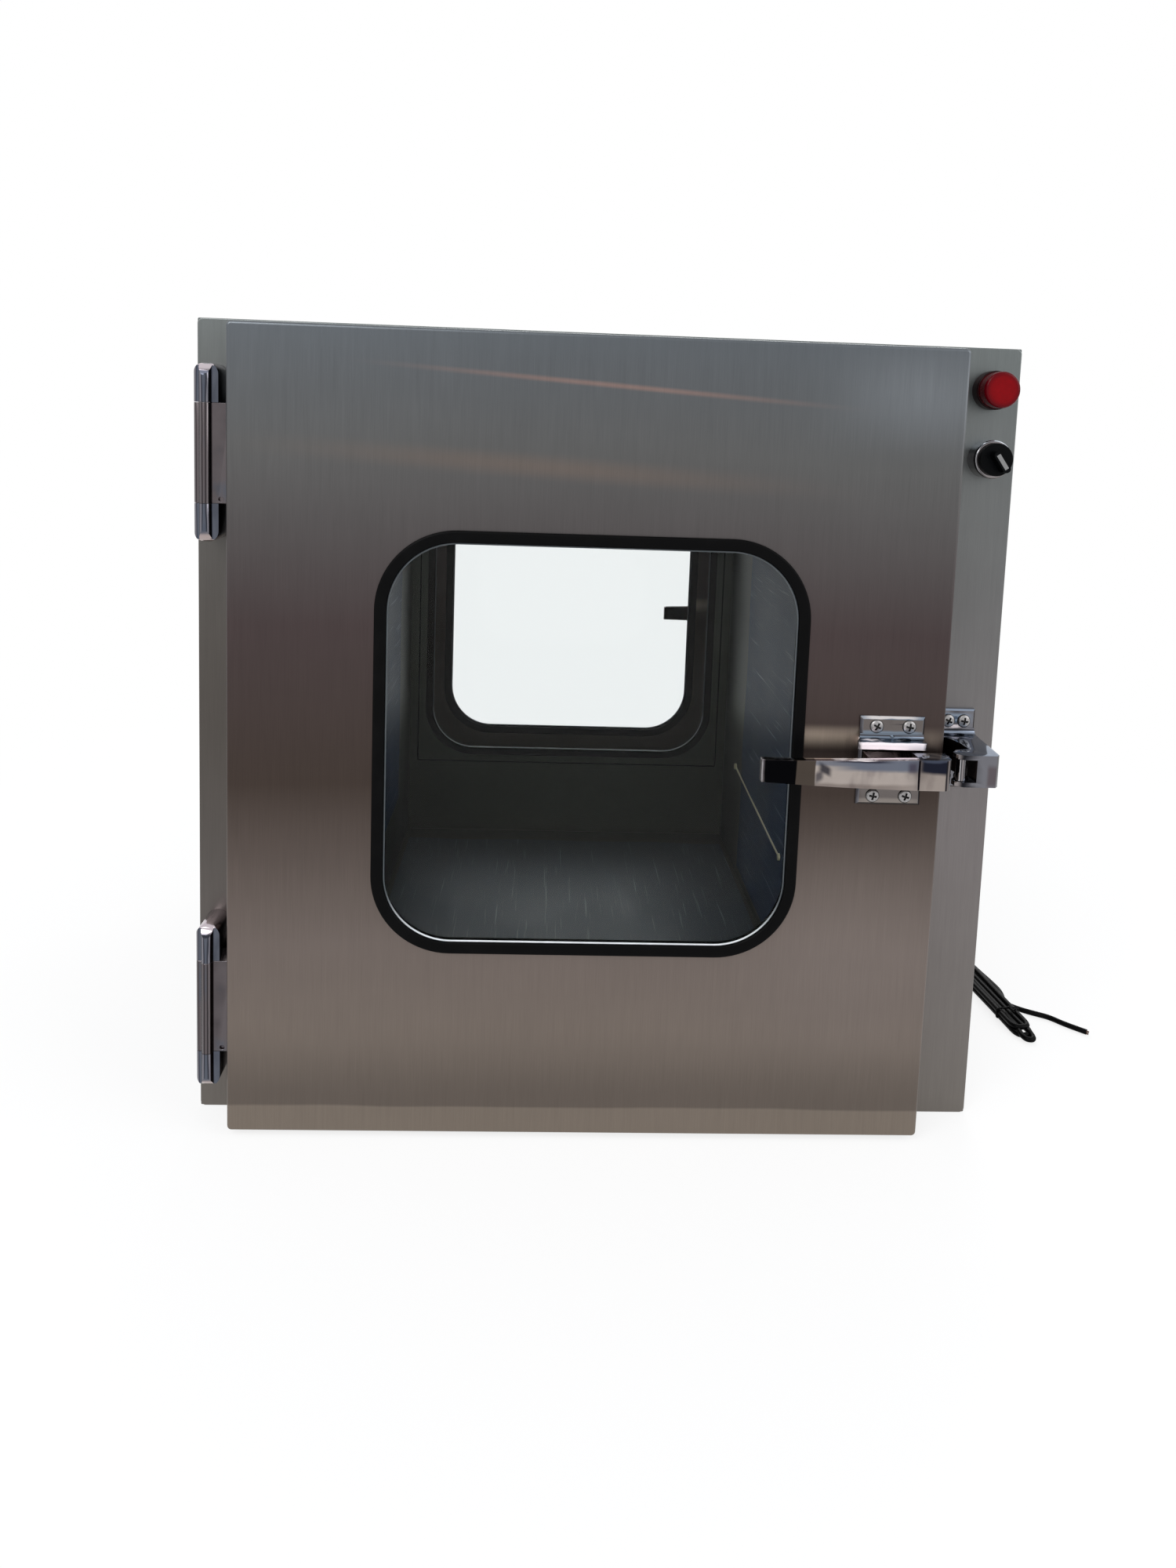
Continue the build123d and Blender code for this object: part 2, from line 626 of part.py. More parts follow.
def hinge_leaf(z):
    """The door's half: the middle of the casting, joined to the door's edge."""
    reach = HINGE_BARREL / 2 - HINGE_END_PLAY
    leaf = hinge_body(z - reach, z + reach, HINGE_LEAF_BACK_OUT, DOOR_LEFT)
    leaf -= upright_bar(
        HINGE_X, HINGE_AXIS_OUT, z - HINGE_BARREL, z + HINGE_BARREL, HINGE_PIN_RADIUS + RUNNING_CLEARANCE
    )
    screw_recess_x = (HINGE_X + HINGE_RIB_RADIUS + DOOR_LEFT) / 2
    screw_recess_z = z - reach + HINGE_PLATE
    return leaf - front_disc(screw_recess_x, screw_recess_z, HINGE_BODY_OUT - HINGE_PLATE, HINGE_BODY_OUT + 1, 1.8)


def hinge_pin(z):
    """The pin through both halves."""
    half = HINGE_LENGTH / 2 - 4.2
    return upright_bar(HINGE_X, HINGE_AXIS_OUT, z - half, z + half, HINGE_PIN_RADIUS)


# ---- Latch ----


def latch_screw_places():
    """Where the latch plate's screws go, as (x, z)."""
    half_x, half_z = LATCH_SCREW_SPACING_X / 2, LATCH_SCREW_SPACING_Z / 2
    return [(LATCH_X + side * half_x, LATCH_Z + end * half_z) for side in (-1, 1) for end in (-1, 1)]


def latch_base():
    """The plate on the door, with a coved lip above and below the handle and the pivot lug between them."""
    face = DOOR_THICKNESS
    half = LATCH_PLATE_WIDTH / 2
    top = face + LATCH_PLATE
    plate = front_block(
        LATCH_X - half,
        LATCH_X + half,
        face,
        top,
        LATCH_Z - LATCH_PLATE_HEIGHT / 2,
        LATCH_Z + LATCH_PLATE_HEIGHT / 2,
    )
    plate = chamfer(plate.faces().sort_by(Axis.Y)[0].edges(), LATCH_PLATE_BEVEL)
    near = LATCH_LIP_GAP / 2
    lip = cove_bar(
        LATCH_X - LATCH_LIP_LEFT,
        LATCH_X + LATCH_LIP_RIGHT,
        top,
        LATCH_LIP_OUT,
        near,
        near + LATCH_LIP,
        LATCH_COVE,
    )
    flare = [
        (LATCH_X - half, face),
        (LATCH_X + half, face),
        (LATCH_X + half, top),
        (LATCH_X + LATCH_LIP_RIGHT, LATCH_LIP_OUT - 3),
        (LATCH_X + LATCH_LIP_RIGHT, LATCH_LIP_OUT),
        (LATCH_X - LATCH_LIP_LEFT, LATCH_LIP_OUT),
        (LATCH_X - LATCH_LIP_LEFT, LATCH_LIP_OUT - 3),
        (LATCH_X - half, top),
    ]
    lip &= front_prism(flare, LATCH_Z, LATCH_Z + LATCH_PLATE_HEIGHT)
    plate = plate + lip + latch_line_mirror(lip)
    low, high = LATCH_Z - LUG_HEIGHT / 2, LATCH_Z + LUG_HEIGHT / 2
    plate += front_block(
        PIVOT_X - LUG_STEM_WIDTH - LUG_SWING_GAP, PIVOT_X - LUG_SWING_GAP, face, LATCH_PIVOT_OUT, low, high
    )
    plate += upright_bar(PIVOT_X, LATCH_PIVOT_OUT, low, high, LUG_RADIUS)
    plate -= upright_bar(
        PIVOT_X, LATCH_PIVOT_OUT, low - 1, high + 1, LATCH_PIN_RADIUS + RUNNING_CLEARANCE
    )
    for x, z in latch_screw_places():
        plate -= front_disc(x, z, 0, top + 1, SCREW_SHANK_RADIUS + SCREW_HOLE_CLEARANCE)
    return plate


def lug_slot(x_low, x_high):
    """The slot in the handle and head that swings round the lug."""
    half = LUG_HEIGHT / 2 + LUG_SLOT_GAP
    depth = LATCH_PIVOT_OUT + LUG_RADIUS + LUG_SWING_GAP
    return front_block(x_low, x_high, 0, depth, LATCH_Z - half, LATCH_Z + half)


def latch_handle():
    """The bowed grip, and the root that reaches back between the plate's lips."""
    tip_x = SEAM_X - HANDLE_LENGTH
    middle_x = (tip_x + SEAM_X) / 2
    middle_out = (HANDLE_FRONT_OUT + HANDLE_TIP_OUT) / 2 + HANDLE_BOW
    front = ThreePointArc(
        (tip_x, FACE_Y - HANDLE_TIP_OUT), (middle_x, FACE_Y - middle_out), (SEAM_X, FACE_Y - HANDLE_FRONT_OUT)
    )
    back = ThreePointArc(
        (SEAM_X, FACE_Y - HANDLE_FRONT_OUT + HANDLE_THICKNESS),
        (middle_x, FACE_Y - middle_out + HANDLE_THICKNESS),
        (tip_x, FACE_Y - HANDLE_TIP_OUT + HANDLE_THICKNESS),
    )
    ends = [Line(front @ 1, back @ 0), Line(back @ 1, front @ 0)]
    plan = make_face(Curve() + [front, back, *ends])
    grip = Pos(0, 0, LATCH_Z - HANDLE_BASE_HEIGHT) * extrude(plan, amount=2 * HANDLE_BASE_HEIGHT)
    base, tip = HANDLE_BASE_HEIGHT / 2, HANDLE_TIP_HEIGHT / 2
    side = Polyline((tip_x, -tip), (SEAM_X, -base), (SEAM_X, base), (tip_x, tip), close=True)
    outline = front_plane(0, LATCH_Z, 0) * make_face(side)
    grip &= extrude(outline, amount=2 * HANDLE_FRONT_OUT)
    root = front_block(
        SEAM_X - HANDLE_ROOT_LENGTH,
        SEAM_X,
        HANDLE_ROOT_BACK_OUT,
        HANDLE_FRONT_OUT - HANDLE_THICKNESS / 2,
        LATCH_Z - HANDLE_ROOT_HEIGHT / 2,
        LATCH_Z + HANDLE_ROOT_HEIGHT / 2,
    )
    return grip + root - lug_slot(SEAM_X - LUG_RADIUS * 2, SEAM_X + 1)


def latch_head():
    """The block on the pivot, with the nose that hooks behind the keeper's roller."""
    half = HANDLE_BASE_HEIGHT / 2
    right = SEAM_X + HEAD_WIDTH
    head = front_block(SEAM_X, right, HEAD_BACK_OUT, HANDLE_FRONT_OUT, LATCH_Z - half, LATCH_Z + half)
    corner = head.edges().filter_by(Axis.Z).group_by(Axis.Y)[0].sort_by(Axis.X)[-1]
    head = fillet(corner, HEAD_ROUND)
    head -= lug_slot(SEAM_X - 1, right + 1)
    nose = [
        (PIVOT_X + 9.0, LATCH_PIVOT_OUT - 1.0),
        (PIVOT_X + 15.0, LATCH_PIVOT_OUT - 7.0),
        (PIVOT_X + NOSE_REACH, LATCH_PIVOT_OUT - 16.0),
        (PIVOT_X + NOSE_REACH, LATCH_PIVOT_OUT - 17.6),
        (PIVOT_X + 18.5, LATCH_PIVOT_OUT - 18.0),
        (PIVOT_X + 9.0, LATCH_PIVOT_OUT - 12.0),
    ]
    head += front_prism(nose, LATCH_Z - NOSE_HEIGHT / 2, LATCH_Z + NOSE_HEIGHT / 2)
    bore = LATCH_PIN_RADIUS + SEAT_CLEARANCE
    return head - upright_bar(PIVOT_X, LATCH_PIVOT_OUT, LATCH_Z - 2 * half, LATCH_Z + 2 * half, bore)


def latch_pin():
    """The upright pin that the head turns on."""
    half = HANDLE_BASE_HEIGHT / 2 + 0.6
    return upright_bar(PIVOT_X, LATCH_PIVOT_OUT, LATCH_Z - half, LATCH_Z + half, LATCH_PIN_RADIUS)


# ---- Keeper ----


def keeper():
    """The strike: a plate with coved ridges, a solid web to the right, and a yoke that holds the roller."""
    low, high = LATCH_Z - KEEPER_HEIGHT / 2, LATCH_Z + KEEPER_HEIGHT / 2
    body = front_block(KEEPER_LEFT, KEEPER_RIGHT, 0, KEEPER_PLATE, low, high)
    body = chamfer(body.faces().sort_by(Axis.Y)[0].edges(), KEEPER_PLATE / 3)
    near, far = KEEPER_ARM_GAP / 2, KEEPER_ARM_GAP / 2 + KEEPER_ARM
    ridge = cove_bar(
        KEEPER_LEFT + LATCH_END_ROUND,
        KEEPER_RIGHT,
        KEEPER_PLATE,
        KEEPER_RIDGE_OUT,
        far - KEEPER_RIDGE,
        far,
        KEEPER_COVE,
    )
    body = body + ridge + latch_line_mirror(ridge)
    block_left = KEEPER_LEFT + KEEPER_BLOCK_LEFT
    web = [
        (KEEPER_LEFT + LATCH_END_ROUND, KEEPER_PLATE - 1),
        (KEEPER_RIGHT, KEEPER_PLATE - 1),
        (KEEPER_RIGHT - 1, KEEPER_OUT * 0.45),
        (KEEPER_RIGHT - 3, KEEPER_OUT - 3),
        (KEEPER_RIGHT - 5.5, KEEPER_OUT),
        (block_left, KEEPER_OUT),
        (block_left, KEEPER_OUT - 14),
        (block_left - 1, KEEPER_OUT * 0.52),
        (block_left - 4, KEEPER_OUT * 0.32),
        (KEEPER_LEFT + LATCH_END_ROUND, KEEPER_RIDGE_OUT),
    ]
    wall = front_prism(web, LATCH_Z - far, LATCH_Z + far)
    body += wall
    yoke = [
        (block_left + 1, KEEPER_OUT),
        (ROLLER_X + 1, ROLLER_OUT + 6),
        (ROLLER_X - 5, ROLLER_OUT + 2.5),
        (ROLLER_X - 5.5, ROLLER_OUT - 3),
        (ROLLER_X - 1, ROLLER_OUT - 9),
        (block_left + 1, ROLLER_OUT - 12),
    ]
    body += front_prism(yoke, LATCH_Z + near, LATCH_Z + far)
    body += front_prism(yoke, LATCH_Z - far, LATCH_Z - near)
    body += upright_bar(ROLLER_X, ROLLER_OUT, LATCH_Z - far, LATCH_Z + far, ROLLER_AXLE_RADIUS)
    for hole in keeper_holes():
        body -= hole
    return body


def keeper_roller():
    """The roller that the latch's nose bears on."""
    half = KEEPER_ARM_GAP / 2 - ROLLER_END_PLAY
    low, high = LATCH_Z - half, LATCH_Z + half
    roller = upright_bar(ROLLER_X, ROLLER_OUT, low, high, ROLLER_RADIUS)
    bore = ROLLER_AXLE_RADIUS + RUNNING_CLEARANCE
    return roller - upright_bar(ROLLER_X, ROLLER_OUT, low - 1, high + 1, bore)


def keeper_screws():
    """The keeper's screws on the front face."""
    return [
        screw(front_plane(KEEPER_LEFT + across, LATCH_Z + up, KEEPER_PLATE)) for across, up in KEEPER_SCREW_PLACES
    ]


# ---- Controls ----


def pilot_lamp():
    """The pilot lamp: a bezel with its threaded body behind the face, and a domed lens."""
    body = front_disc(CONTROL_X, LAMP_Z, 0, LAMP_BEZEL_OUT, BEZEL_RADIUS)
    body = fillet(body.faces().sort_by(Axis.Y)[0].edges(), 1.0)
    body += front_disc(CONTROL_X, LAMP_Z, -BODY_LENGTH, 0, THREAD_RADIUS)
    lens = front_disc(CONTROL_X, LAMP_Z, LAMP_BEZEL_OUT, LENS_OUT, LENS_RADIUS)
    lens = fillet(lens.faces().sort_by(Axis.Y)[0].edges(), LENS_ROUND)
    return {"pilot_lamp_body": body, "pilot_lamp_lens": lens}


def selector():
    """The selector switch: bezel and body, turning knob, and the pointer let into the knob's grip."""
    bezel = front_disc(CONTROL_X, SELECTOR_Z, 0, SELECTOR_BEZEL_OUT, BEZEL_RADIUS)
    bezel = fillet(bezel.faces().sort_by(Axis.Y)[0].edges(), SELECTOR_BEZEL_ROUND)
    bezel += front_disc(CONTROL_X, SELECTOR_Z, -BODY_LENGTH, 0, THREAD_RADIUS)
    socket_floor = SELECTOR_BEZEL_OUT - KNOB_SPINDLE_DEPTH - KNOB_GAP
    bezel -= front_disc(
        CONTROL_X, SELECTOR_Z, socket_floor, SELECTOR_BEZEL_OUT + 1, KNOB_SPINDLE_RADIUS + RUNNING_CLEARANCE
    )
    disc_out = SELECTOR_BEZEL_OUT + KNOB_GAP
    knob = front_disc(CONTROL_X, SELECTOR_Z, disc_out, disc_out + KNOB_DISC, KNOB_RADIUS)
    knob += front_disc(CONTROL_X, SELECTOR_Z, socket_floor + KNOB_GAP, disc_out, KNOB_SPINDLE_RADIUS)
    grip_out = disc_out + KNOB_DISC
    turned = front_plane(CONTROL_X, SELECTOR_Z, disc_out) * Rot(0, 0, KNOB_ANGLE)
    grip_length = KNOB_GRIP_BACK + KNOB_GRIP_REACH
    grip = Pos((KNOB_GRIP_REACH - KNOB_GRIP_BACK) / 2, 0)
    grip *= RectangleRounded(grip_length, KNOB_GRIP_WIDTH, KNOB_GRIP_WIDTH * 0.45)
    knob += extrude(turned * grip, amount=KNOB_DISC + KNOB_GRIP_RISE)
    pointer_plane = front_plane(CONTROL_X, SELECTOR_Z, grip_out + KNOB_GRIP_RISE) * Rot(0, 0, KNOB_ANGLE)
    stripe = Pos(POINTER_START + POINTER_LENGTH / 2, 0) * Rectangle(POINTER_LENGTH, POINTER_WIDTH)
    pointer = extrude(pointer_plane * stripe, amount=POINTER_RISE)
    return {"selector_body": bezel, "selector_knob": knob, "selector_pointer": pointer}


def panel_nuts():
    """The two nuts behind the face that hold the lamp and the selector."""
    nuts = []
    for z in (LAMP_Z, SELECTOR_Z):
        nut = front_disc(CONTROL_X, z, -SHEET - NUT_THICKNESS, -SHEET, NUT_RADIUS)
        nuts.append(nut - front_disc(CONTROL_X, z, -BODY_LENGTH, 0, THREAD_RADIUS + SEAT_CLEARANCE))
    return {"panel_nuts": group(nuts)}


# ---- Mains lead ----


def arc_radii(points):
    """The largest radius that each corner's two runs allow, with a share of the run left straight."""
    radii = []
    for before, corner, after in zip(points, points[1:], points[2:]):
        first = Vector(*corner) - Vector(*before)
        second = Vector(*after) - Vector(*corner)
        turn = math.radians(first.get_angle(second))
        radii.append(RUN_SHARE * min(first.length, second.length) / math.tan(turn / 2))
    return radii


def lead_tube(name, points):
    """A round lead along straight runs joined by tangent arcs."""
    radii = arc_radii(points)
    path = FilletPolyline(*points, radius=radii)
    start = Vector(*points[0])
    direction = (Vector(*points[1]) - start).normalized()
    tube = sweep(Plane(origin=start, z_dir=direction) * Circle(LEAD_RADIUS), path=path)
    expected = math.pi * LEAD_RADIUS**2 * path.length
    print(name, "length", round(path.length, 1), "volume share", round(tube.volume / expected, 4))
    print(name, "radii", [round(radius, 1) for radius in radii])
    return tube


def mains_lead():
    """The gland on the right side, the lead down to the surface, the hank and the loose end."""
    axis = Plane(origin=(SIDE_X, GLAND_Y, GLAND_Z), x_dir=(0, 1, 0), z_dir=(1, 0, 0))
    gland = extrude(axis * RegularPolygon(GLAND_HEX / 2, 6, major_radius=False), amount=GLAND_HEX_THICKNESS)
    dome_base = axis.offset(GLAND_HEX_THICKNESS)
    dome_tip = axis.offset(GLAND_HEX_THICKNESS + GLAND_DOME_LENGTH)
    gland += loft([dome_base * Circle(GLAND_DOME_RADIUS), dome_tip * Circle(GLAND_TIP_RADIUS)])
    taper_tip = dome_tip.offset(GLAND_TAPER_LENGTH)
    gland += loft([dome_tip * Circle(GLAND_TIP_RADIUS), taper_tip * Circle(GLAND_TAPER_END_RADIUS)])
    gland += extrude(axis * Circle(GLAND_THREAD_RADIUS), amount=-GLAND_THREAD_LENGTH)

    middle = ((HANK_REAR[0] + HANK_FRONT[0]) / 2, (HANK_REAR[1] + HANK_FRONT[1]) / 2)
    run = (HANK_FRONT[0] - HANK_REAR[0], HANK_FRONT[1] - HANK_REAR[1])
    length = math.hypot(*run)
    angle = math.degrees(math.atan2(run[1], run[0]))
    hank = Box(length, HANK_WIDTH, HANK_HEIGHT)
    hank = fillet(hank.edges().filter_by(Axis.Z), HANK_WIDTH * 0.45)
    hank = fillet(hank.faces().sort_by(Axis.Z)[-1].edges(), HANK_ROUND)
    hank = Pos(*middle, HANK_HEIGHT / 2) * Rot(0, 0, angle) * hank
    return {
        "cable_gland": gland,
        "mains_lead": lead_tube("mains_lead", LEAD_POINTS) - hank,
        "mains_hank": hank,
        "mains_tail": lead_tube("mains_tail", TAIL_POINTS) - hank,
    }


# ---- All nodes ----


def door_set():
    """Every front piece that has a mirrored copy at the rear."""
    nodes = door_panels()
    nodes["hinge_leaves"] = group(hinge_leaf(z) for z in HINGE_ZS)
    nodes["hinge_frame_halves"] = group(hinge_frame_half(z) for z in HINGE_ZS)
    nodes["latch_base"] = latch_base()
    nodes["latch_screws"] = group(
        screw(front_plane(x, z, DOOR_THICKNESS + LATCH_PLATE)) for x, z in latch_screw_places()
    )
    nodes["latch_handle"] = latch_handle()
    nodes["latch_head"] = latch_head()
    nodes["latch_pin"] = latch_pin()
    nodes["keeper"] = keeper()
    nodes["keeper_roller"] = keeper_roller()
    return nodes


def all_nodes():
    """Each node's name and shape."""
    nodes = {**cabinet(), **ultraviolet_lamp(), **chamber_wire()}
    for name, shape in door_set().items():
        nodes["front_" + name] = shape
        nodes["rear_" + name] = rear(shape)
    pins = [hinge_pin(z) for z in HINGE_ZS]
    nodes["hinge_pins"] = group([*pins, *(rear(pin) for pin in pins)])
    screws = keeper_screws()
    nodes["keeper_screws"] = group([*screws, *(rear(piece) for piece in screws)])
    nodes.update(pilot_lamp())
    nodes.update(selector())
    nodes.update(panel_nuts())
    nodes.update(mains_lead())
    return nodes


os.makedirs("parts", exist_ok=True)
for node, solid in all_nodes().items():
    export_step(solid, f"parts/{node}.step")
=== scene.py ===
"""Looks of a stainless cleanroom pass box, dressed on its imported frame."""

from __future__ import annotations

import json
import logging
import math
from dataclasses import dataclass
from enum import Enum
from typing import Any, Sequence

import bmesh
import bpy
from mathutils import Matrix, Vector

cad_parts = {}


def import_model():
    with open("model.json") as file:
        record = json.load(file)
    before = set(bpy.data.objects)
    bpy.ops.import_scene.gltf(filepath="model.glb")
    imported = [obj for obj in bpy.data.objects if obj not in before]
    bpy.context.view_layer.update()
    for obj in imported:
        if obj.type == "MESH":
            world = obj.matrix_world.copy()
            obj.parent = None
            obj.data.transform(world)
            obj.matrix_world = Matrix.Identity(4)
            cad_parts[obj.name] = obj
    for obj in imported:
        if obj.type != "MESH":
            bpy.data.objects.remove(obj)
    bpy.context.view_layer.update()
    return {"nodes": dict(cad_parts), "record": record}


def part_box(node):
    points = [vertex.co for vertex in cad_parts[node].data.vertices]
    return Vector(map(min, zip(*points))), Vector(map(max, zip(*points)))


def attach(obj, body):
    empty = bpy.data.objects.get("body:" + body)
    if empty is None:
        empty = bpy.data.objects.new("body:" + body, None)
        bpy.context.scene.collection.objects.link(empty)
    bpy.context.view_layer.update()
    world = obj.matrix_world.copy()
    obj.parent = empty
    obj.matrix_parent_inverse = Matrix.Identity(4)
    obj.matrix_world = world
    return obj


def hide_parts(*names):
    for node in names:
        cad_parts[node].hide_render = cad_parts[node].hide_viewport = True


LOG = logging.getLogger("pass_box")

Point = tuple[float, float, float]
Colour = tuple[float, float, float]


# ---- Shader maths ----


@dataclass
class Term:
    """A shader value that Python's operators work on."""

    recipe: "Recipe"
    socket: Any

    def _math(self, operation: str, other: Any, swap: bool = False) -> "Term":
        """Adds one Math node for this value and another."""
        first, second = (other, self) if swap else (self, other)
        return self.recipe.node("ShaderNodeMath", {"operation": operation}, {0: first, 1: second})

    def __add__(self, other: Any) -> "Term":
        """The sum of two values."""
        return self._math("ADD", other)

    __radd__ = __add__

    def __sub__(self, other: Any) -> "Term":
        """The difference of two values."""
        return self._math("SUBTRACT", other)

    def __rsub__(self, other: Any) -> "Term":
        """A number less this value."""
        return self._math("SUBTRACT", other, swap=True)

    def __mul__(self, other: Any) -> "Term":
        """The product of two values."""
        return self._math("MULTIPLY", other)

    __rmul__ = __mul__

    def __pow__(self, other: float) -> "Term":
        """This value to a power."""
        return self._math("POWER", other)

    def __abs__(self) -> "Term":
        """This value without its sign."""
        return self._math("ABSOLUTE", 0.0)

    def above(self, low: float, high: float) -> "Term":
        """A smooth mask that is 0 below low and 1 above high.

        Args:
            low: The value where the mask starts.
            high: The value where the mask is full.

        Returns:
            The mask.
        """
        return self.recipe.node(
            "ShaderNodeMapRange",
            {"interpolation_type": "SMOOTHSTEP", "clamp": True},
            {"Value": self, "From Min": low, "From Max": high},
        )


class Recipe:
    """One material's node tree, with a Principled surface."""

    def __init__(self, name: str) -> None:
        """Starts an empty material with an output and a Principled surface.

        Args:
            name: The material's name.
        """
        self.material = bpy.data.materials.new(name)
        self.material.use_nodes = True
        self.tree = self.material.node_tree
        self.tree.nodes.clear()
        self.output = self.tree.nodes.new("ShaderNodeOutputMaterial")
        self.surface = self.tree.nodes.new("ShaderNodeBsdfPrincipled")
        self.tree.links.new(self.surface.outputs[0], self.output.inputs["Surface"])

    def node(
        self,
        kind: str,
        settings: dict[str, Any] | None = None,
        values: dict[Any, Any] | None = None,
        output: Any = 0,
    ) -> Term:
        """Adds a node, sets it up and feeds its sockets.

        Args:
            kind: The node's type name.
            settings: The node's own settings. "stops" holds a ramp's positions and colours.
            values: Socket name or index to a number, colour, vector or Term.
            output: The output socket that is handed back.

        Returns:
            The chosen output.
        """
        made = self.tree.nodes.new(kind)
        for key, value in (settings or {}).items():
            if key == "stops":
                self._stops(made, value)
            else:
                setattr(made, key, value)
        for key, value in (values or {}).items():
            self.feed(made.inputs[key], value)
        return Term(self, made.outputs[output])

    @staticmethod
    def _stops(ramp: Any, stops: Sequence[tuple[float, Colour]]) -> None:
        """Fills a colour ramp with its positions and colours."""
        elements = ramp.color_ramp.elements
        while len(elements) > 1:
            elements.remove(elements[-1])
        elements[0].position = stops[0][0]
        elements[0].color = (*stops[0][1], 1.0)
        for position, colour in stops[1:]:
            elements.new(position).color = (*colour, 1.0)

    def feed(self, socket: Any, value: Any) -> None:
        """Links or sets one input socket.

        Args:
            socket: The input socket.
            value: A Term, number, colour or vector.
        """
        if isinstance(value, Term):
            self.tree.links.new(value.socket, socket)
        elif isinstance(value, tuple) and socket.type == "RGBA":
            socket.default_value = (*value, 1.0)[:4]
        else:
            socket.default_value = value

    def set(self, **values: Any) -> None:
        """Feeds the surface's sockets, named with underscores for spaces."""
        for key, value in values.items():
            self.feed(self.surface.inputs[key.replace("_", " ")], value)

    def place(self) -> Term:
        """The point in the row frame, in metres."""
        return self.node("ShaderNodeTexCoord", output="Object")

    def parts(self, vector: Term) -> tuple[Term, Term, Term]:
        """A vector's three components."""
        split = self.node("ShaderNodeSeparateXYZ", values={0: vector})
        owner = split.socket.node
        return tuple(Term(self, owner.outputs[index]) for index in range(3))

    def stretched(self, vector: Term, scale: Point, shift: Point = (0, 0, 0)) -> Term:
        """A vector scaled and shifted, one number for each axis.

        Args:
            vector: The vector.
            scale: The factor on each axis.
            shift: What is added after the scale.

        Returns:
            The new vector.
        """
        return self.node("ShaderNodeMapping", values={"Vector": vector, "Location": shift, "Scale": scale})

    def noise(self, vector: Term, scale: float, detail: float = 3.0, rough: float = 0.5) -> Term:
        """Smooth noise from 0 to 1.

        Args:
            vector: Where it is read.
            scale: Features in each metre, after the vector's own scale.
            detail: Octaves of finer noise.
            rough: How strong the finer octaves are.

        Returns:
            The noise value.
        """
        return self.node(
            "ShaderNodeTexNoise",
            {},
            {"Vector": vector, "Scale": scale, "Detail": detail, "Roughness": rough},
            output="Fac",
        )

    def mix(self, factor: Any, first: Any, second: Any) -> Term:
        """A colour between two colours."""
        return self.node(
            "ShaderNodeMix",
            {"data_type": "RGBA", "clamp_factor": True},
            {0: factor, 6: first, 7: second},
            output=2,
        )

    def tinted(self, colour: Any, factor: Term) -> Term:
        """A colour times a number."""
        return self.node("ShaderNodeVectorMath", {"operation": "SCALE"}, {0: colour, "Scale": factor})

    def bump(self, height: Term, strength: float, distance: float) -> Term:
        """A normal from a height.

        Args:
            height: The height, from 0 to 1.
            strength: How much of it shows.
            distance: The height's depth in metres.

        Returns:
            The normal.
        """
        return self.node(
            "ShaderNodeBump",
            values={"Height": height, "Strength": strength, "Distance": distance},
        )


def srgb(red: float, green: float, blue: float) -> Colour:
    """Turns an 8-bit display colour into the linear colour that shaders take.

    Args:
        red: 0 to 255.
        green: 0 to 255.
        blue: 0 to 255.

    Returns:
        The linear colour.
    """

    def linear(value: float) -> float:
        share = value / 255
        return share / 12.92 if share <= 0.04045 else ((share + 0.055) / 1.055) ** 2.4

    return linear(red), linear(green), linear(blue)


# ---- Finishes ----


class Grain(Enum):
    """Which way a brushed sheet's grain runs."""

    UPRIGHT = "z"
    LENGTHWISE = "y"


@dataclass(frozen=True)
class BrushedSheet:
    """Brushed stainless sheet: fine straight grain under broad soft bands of painted reflection and painted
    shade.
    """

    name: str
    bands: tuple[tuple[float, Colour], ...]
    height: float = 0.62
    grain: Grain = Grain.UPRIGHT
    metallic: float = 0.85
    roughness: float = 0.36
    grain_depth: float = 0.00003
    contrast: float = 0.16
    sway: float = 0.05
    painted_reflections: tuple["Glint", ...] = ()
    fold: float | None = None

    def build(self) -> bpy.types.Material:
        """Makes the material."""
        recipe = Recipe(self.name)
        place = recipe.place()
        across, _, up = recipe.parts(place)
        fine, coarse = (1.0, 1.0, 0.012), (1.0, 1.0, 0.05)
        if self.grain is Grain.LENGTHWISE:
            fine, coarse = (1.0, 0.012, 1.0), (1.0, 0.05, 1.0)
        lines = recipe.noise(recipe.stretched(place, fine), 2200.0, 2.0, 0.6)
        streaks = recipe.noise(recipe.stretched(place, coarse), 320.0, 3.0, 0.6)
        drift = recipe.noise(recipe.stretched(place, (0.5, 0.5, 1.0)), 5.0, 2.0)
        cloud = recipe.noise(recipe.stretched(place, (0.8, 0.8, 2.4)), 6.0, 3.0, 0.6)
        along = up * (1 / self.height) + (drift - 0.5) * self.sway
        # The colour ramp by height is painted reflection and painted shade, not the steel's own tone.
        tone = recipe.node("ShaderNodeValToRGB", {"stops": self.bands}, {"Fac": along}, output="Color")
        # Painted highlights and painted dark reflections, laid on in patches.
        for painted_patch in self.painted_reflections:
            tone = recipe.mix(painted_patch.mask(across, up), tone, painted_patch.colour)
        # Painted shade: a dark line along the fold and a darker gradient fading up from it.
        if self.fold is not None:
            sway = recipe.noise(recipe.stretched(place, (1.0, 0.0, 0.0)), 4.0, 2.0)
            edge = up - self.fold + (sway - 0.5) * 0.012
            above = edge.above(-0.0012, 0.0012) * (1.0 - edge.above(0.004, 0.070))
            tone = recipe.mix(above * 0.55, tone, tuple(c * 0.45 for c in self.bands[1][1]))
        shade = (
            1.0
            + (lines - 0.5) * self.contrast * 1.6
            + (streaks - 0.5) * self.contrast
            + (cloud - 0.5) * 0.16
        )
        recipe.set(
            Base_Color=recipe.tinted(tone, shade),
            Metallic=self.metallic,
            Roughness=self.roughness + (streaks - 0.5) * 0.12,
            Normal=recipe.bump(lines, 0.4, self.grain_depth),
        )
        return recipe.material


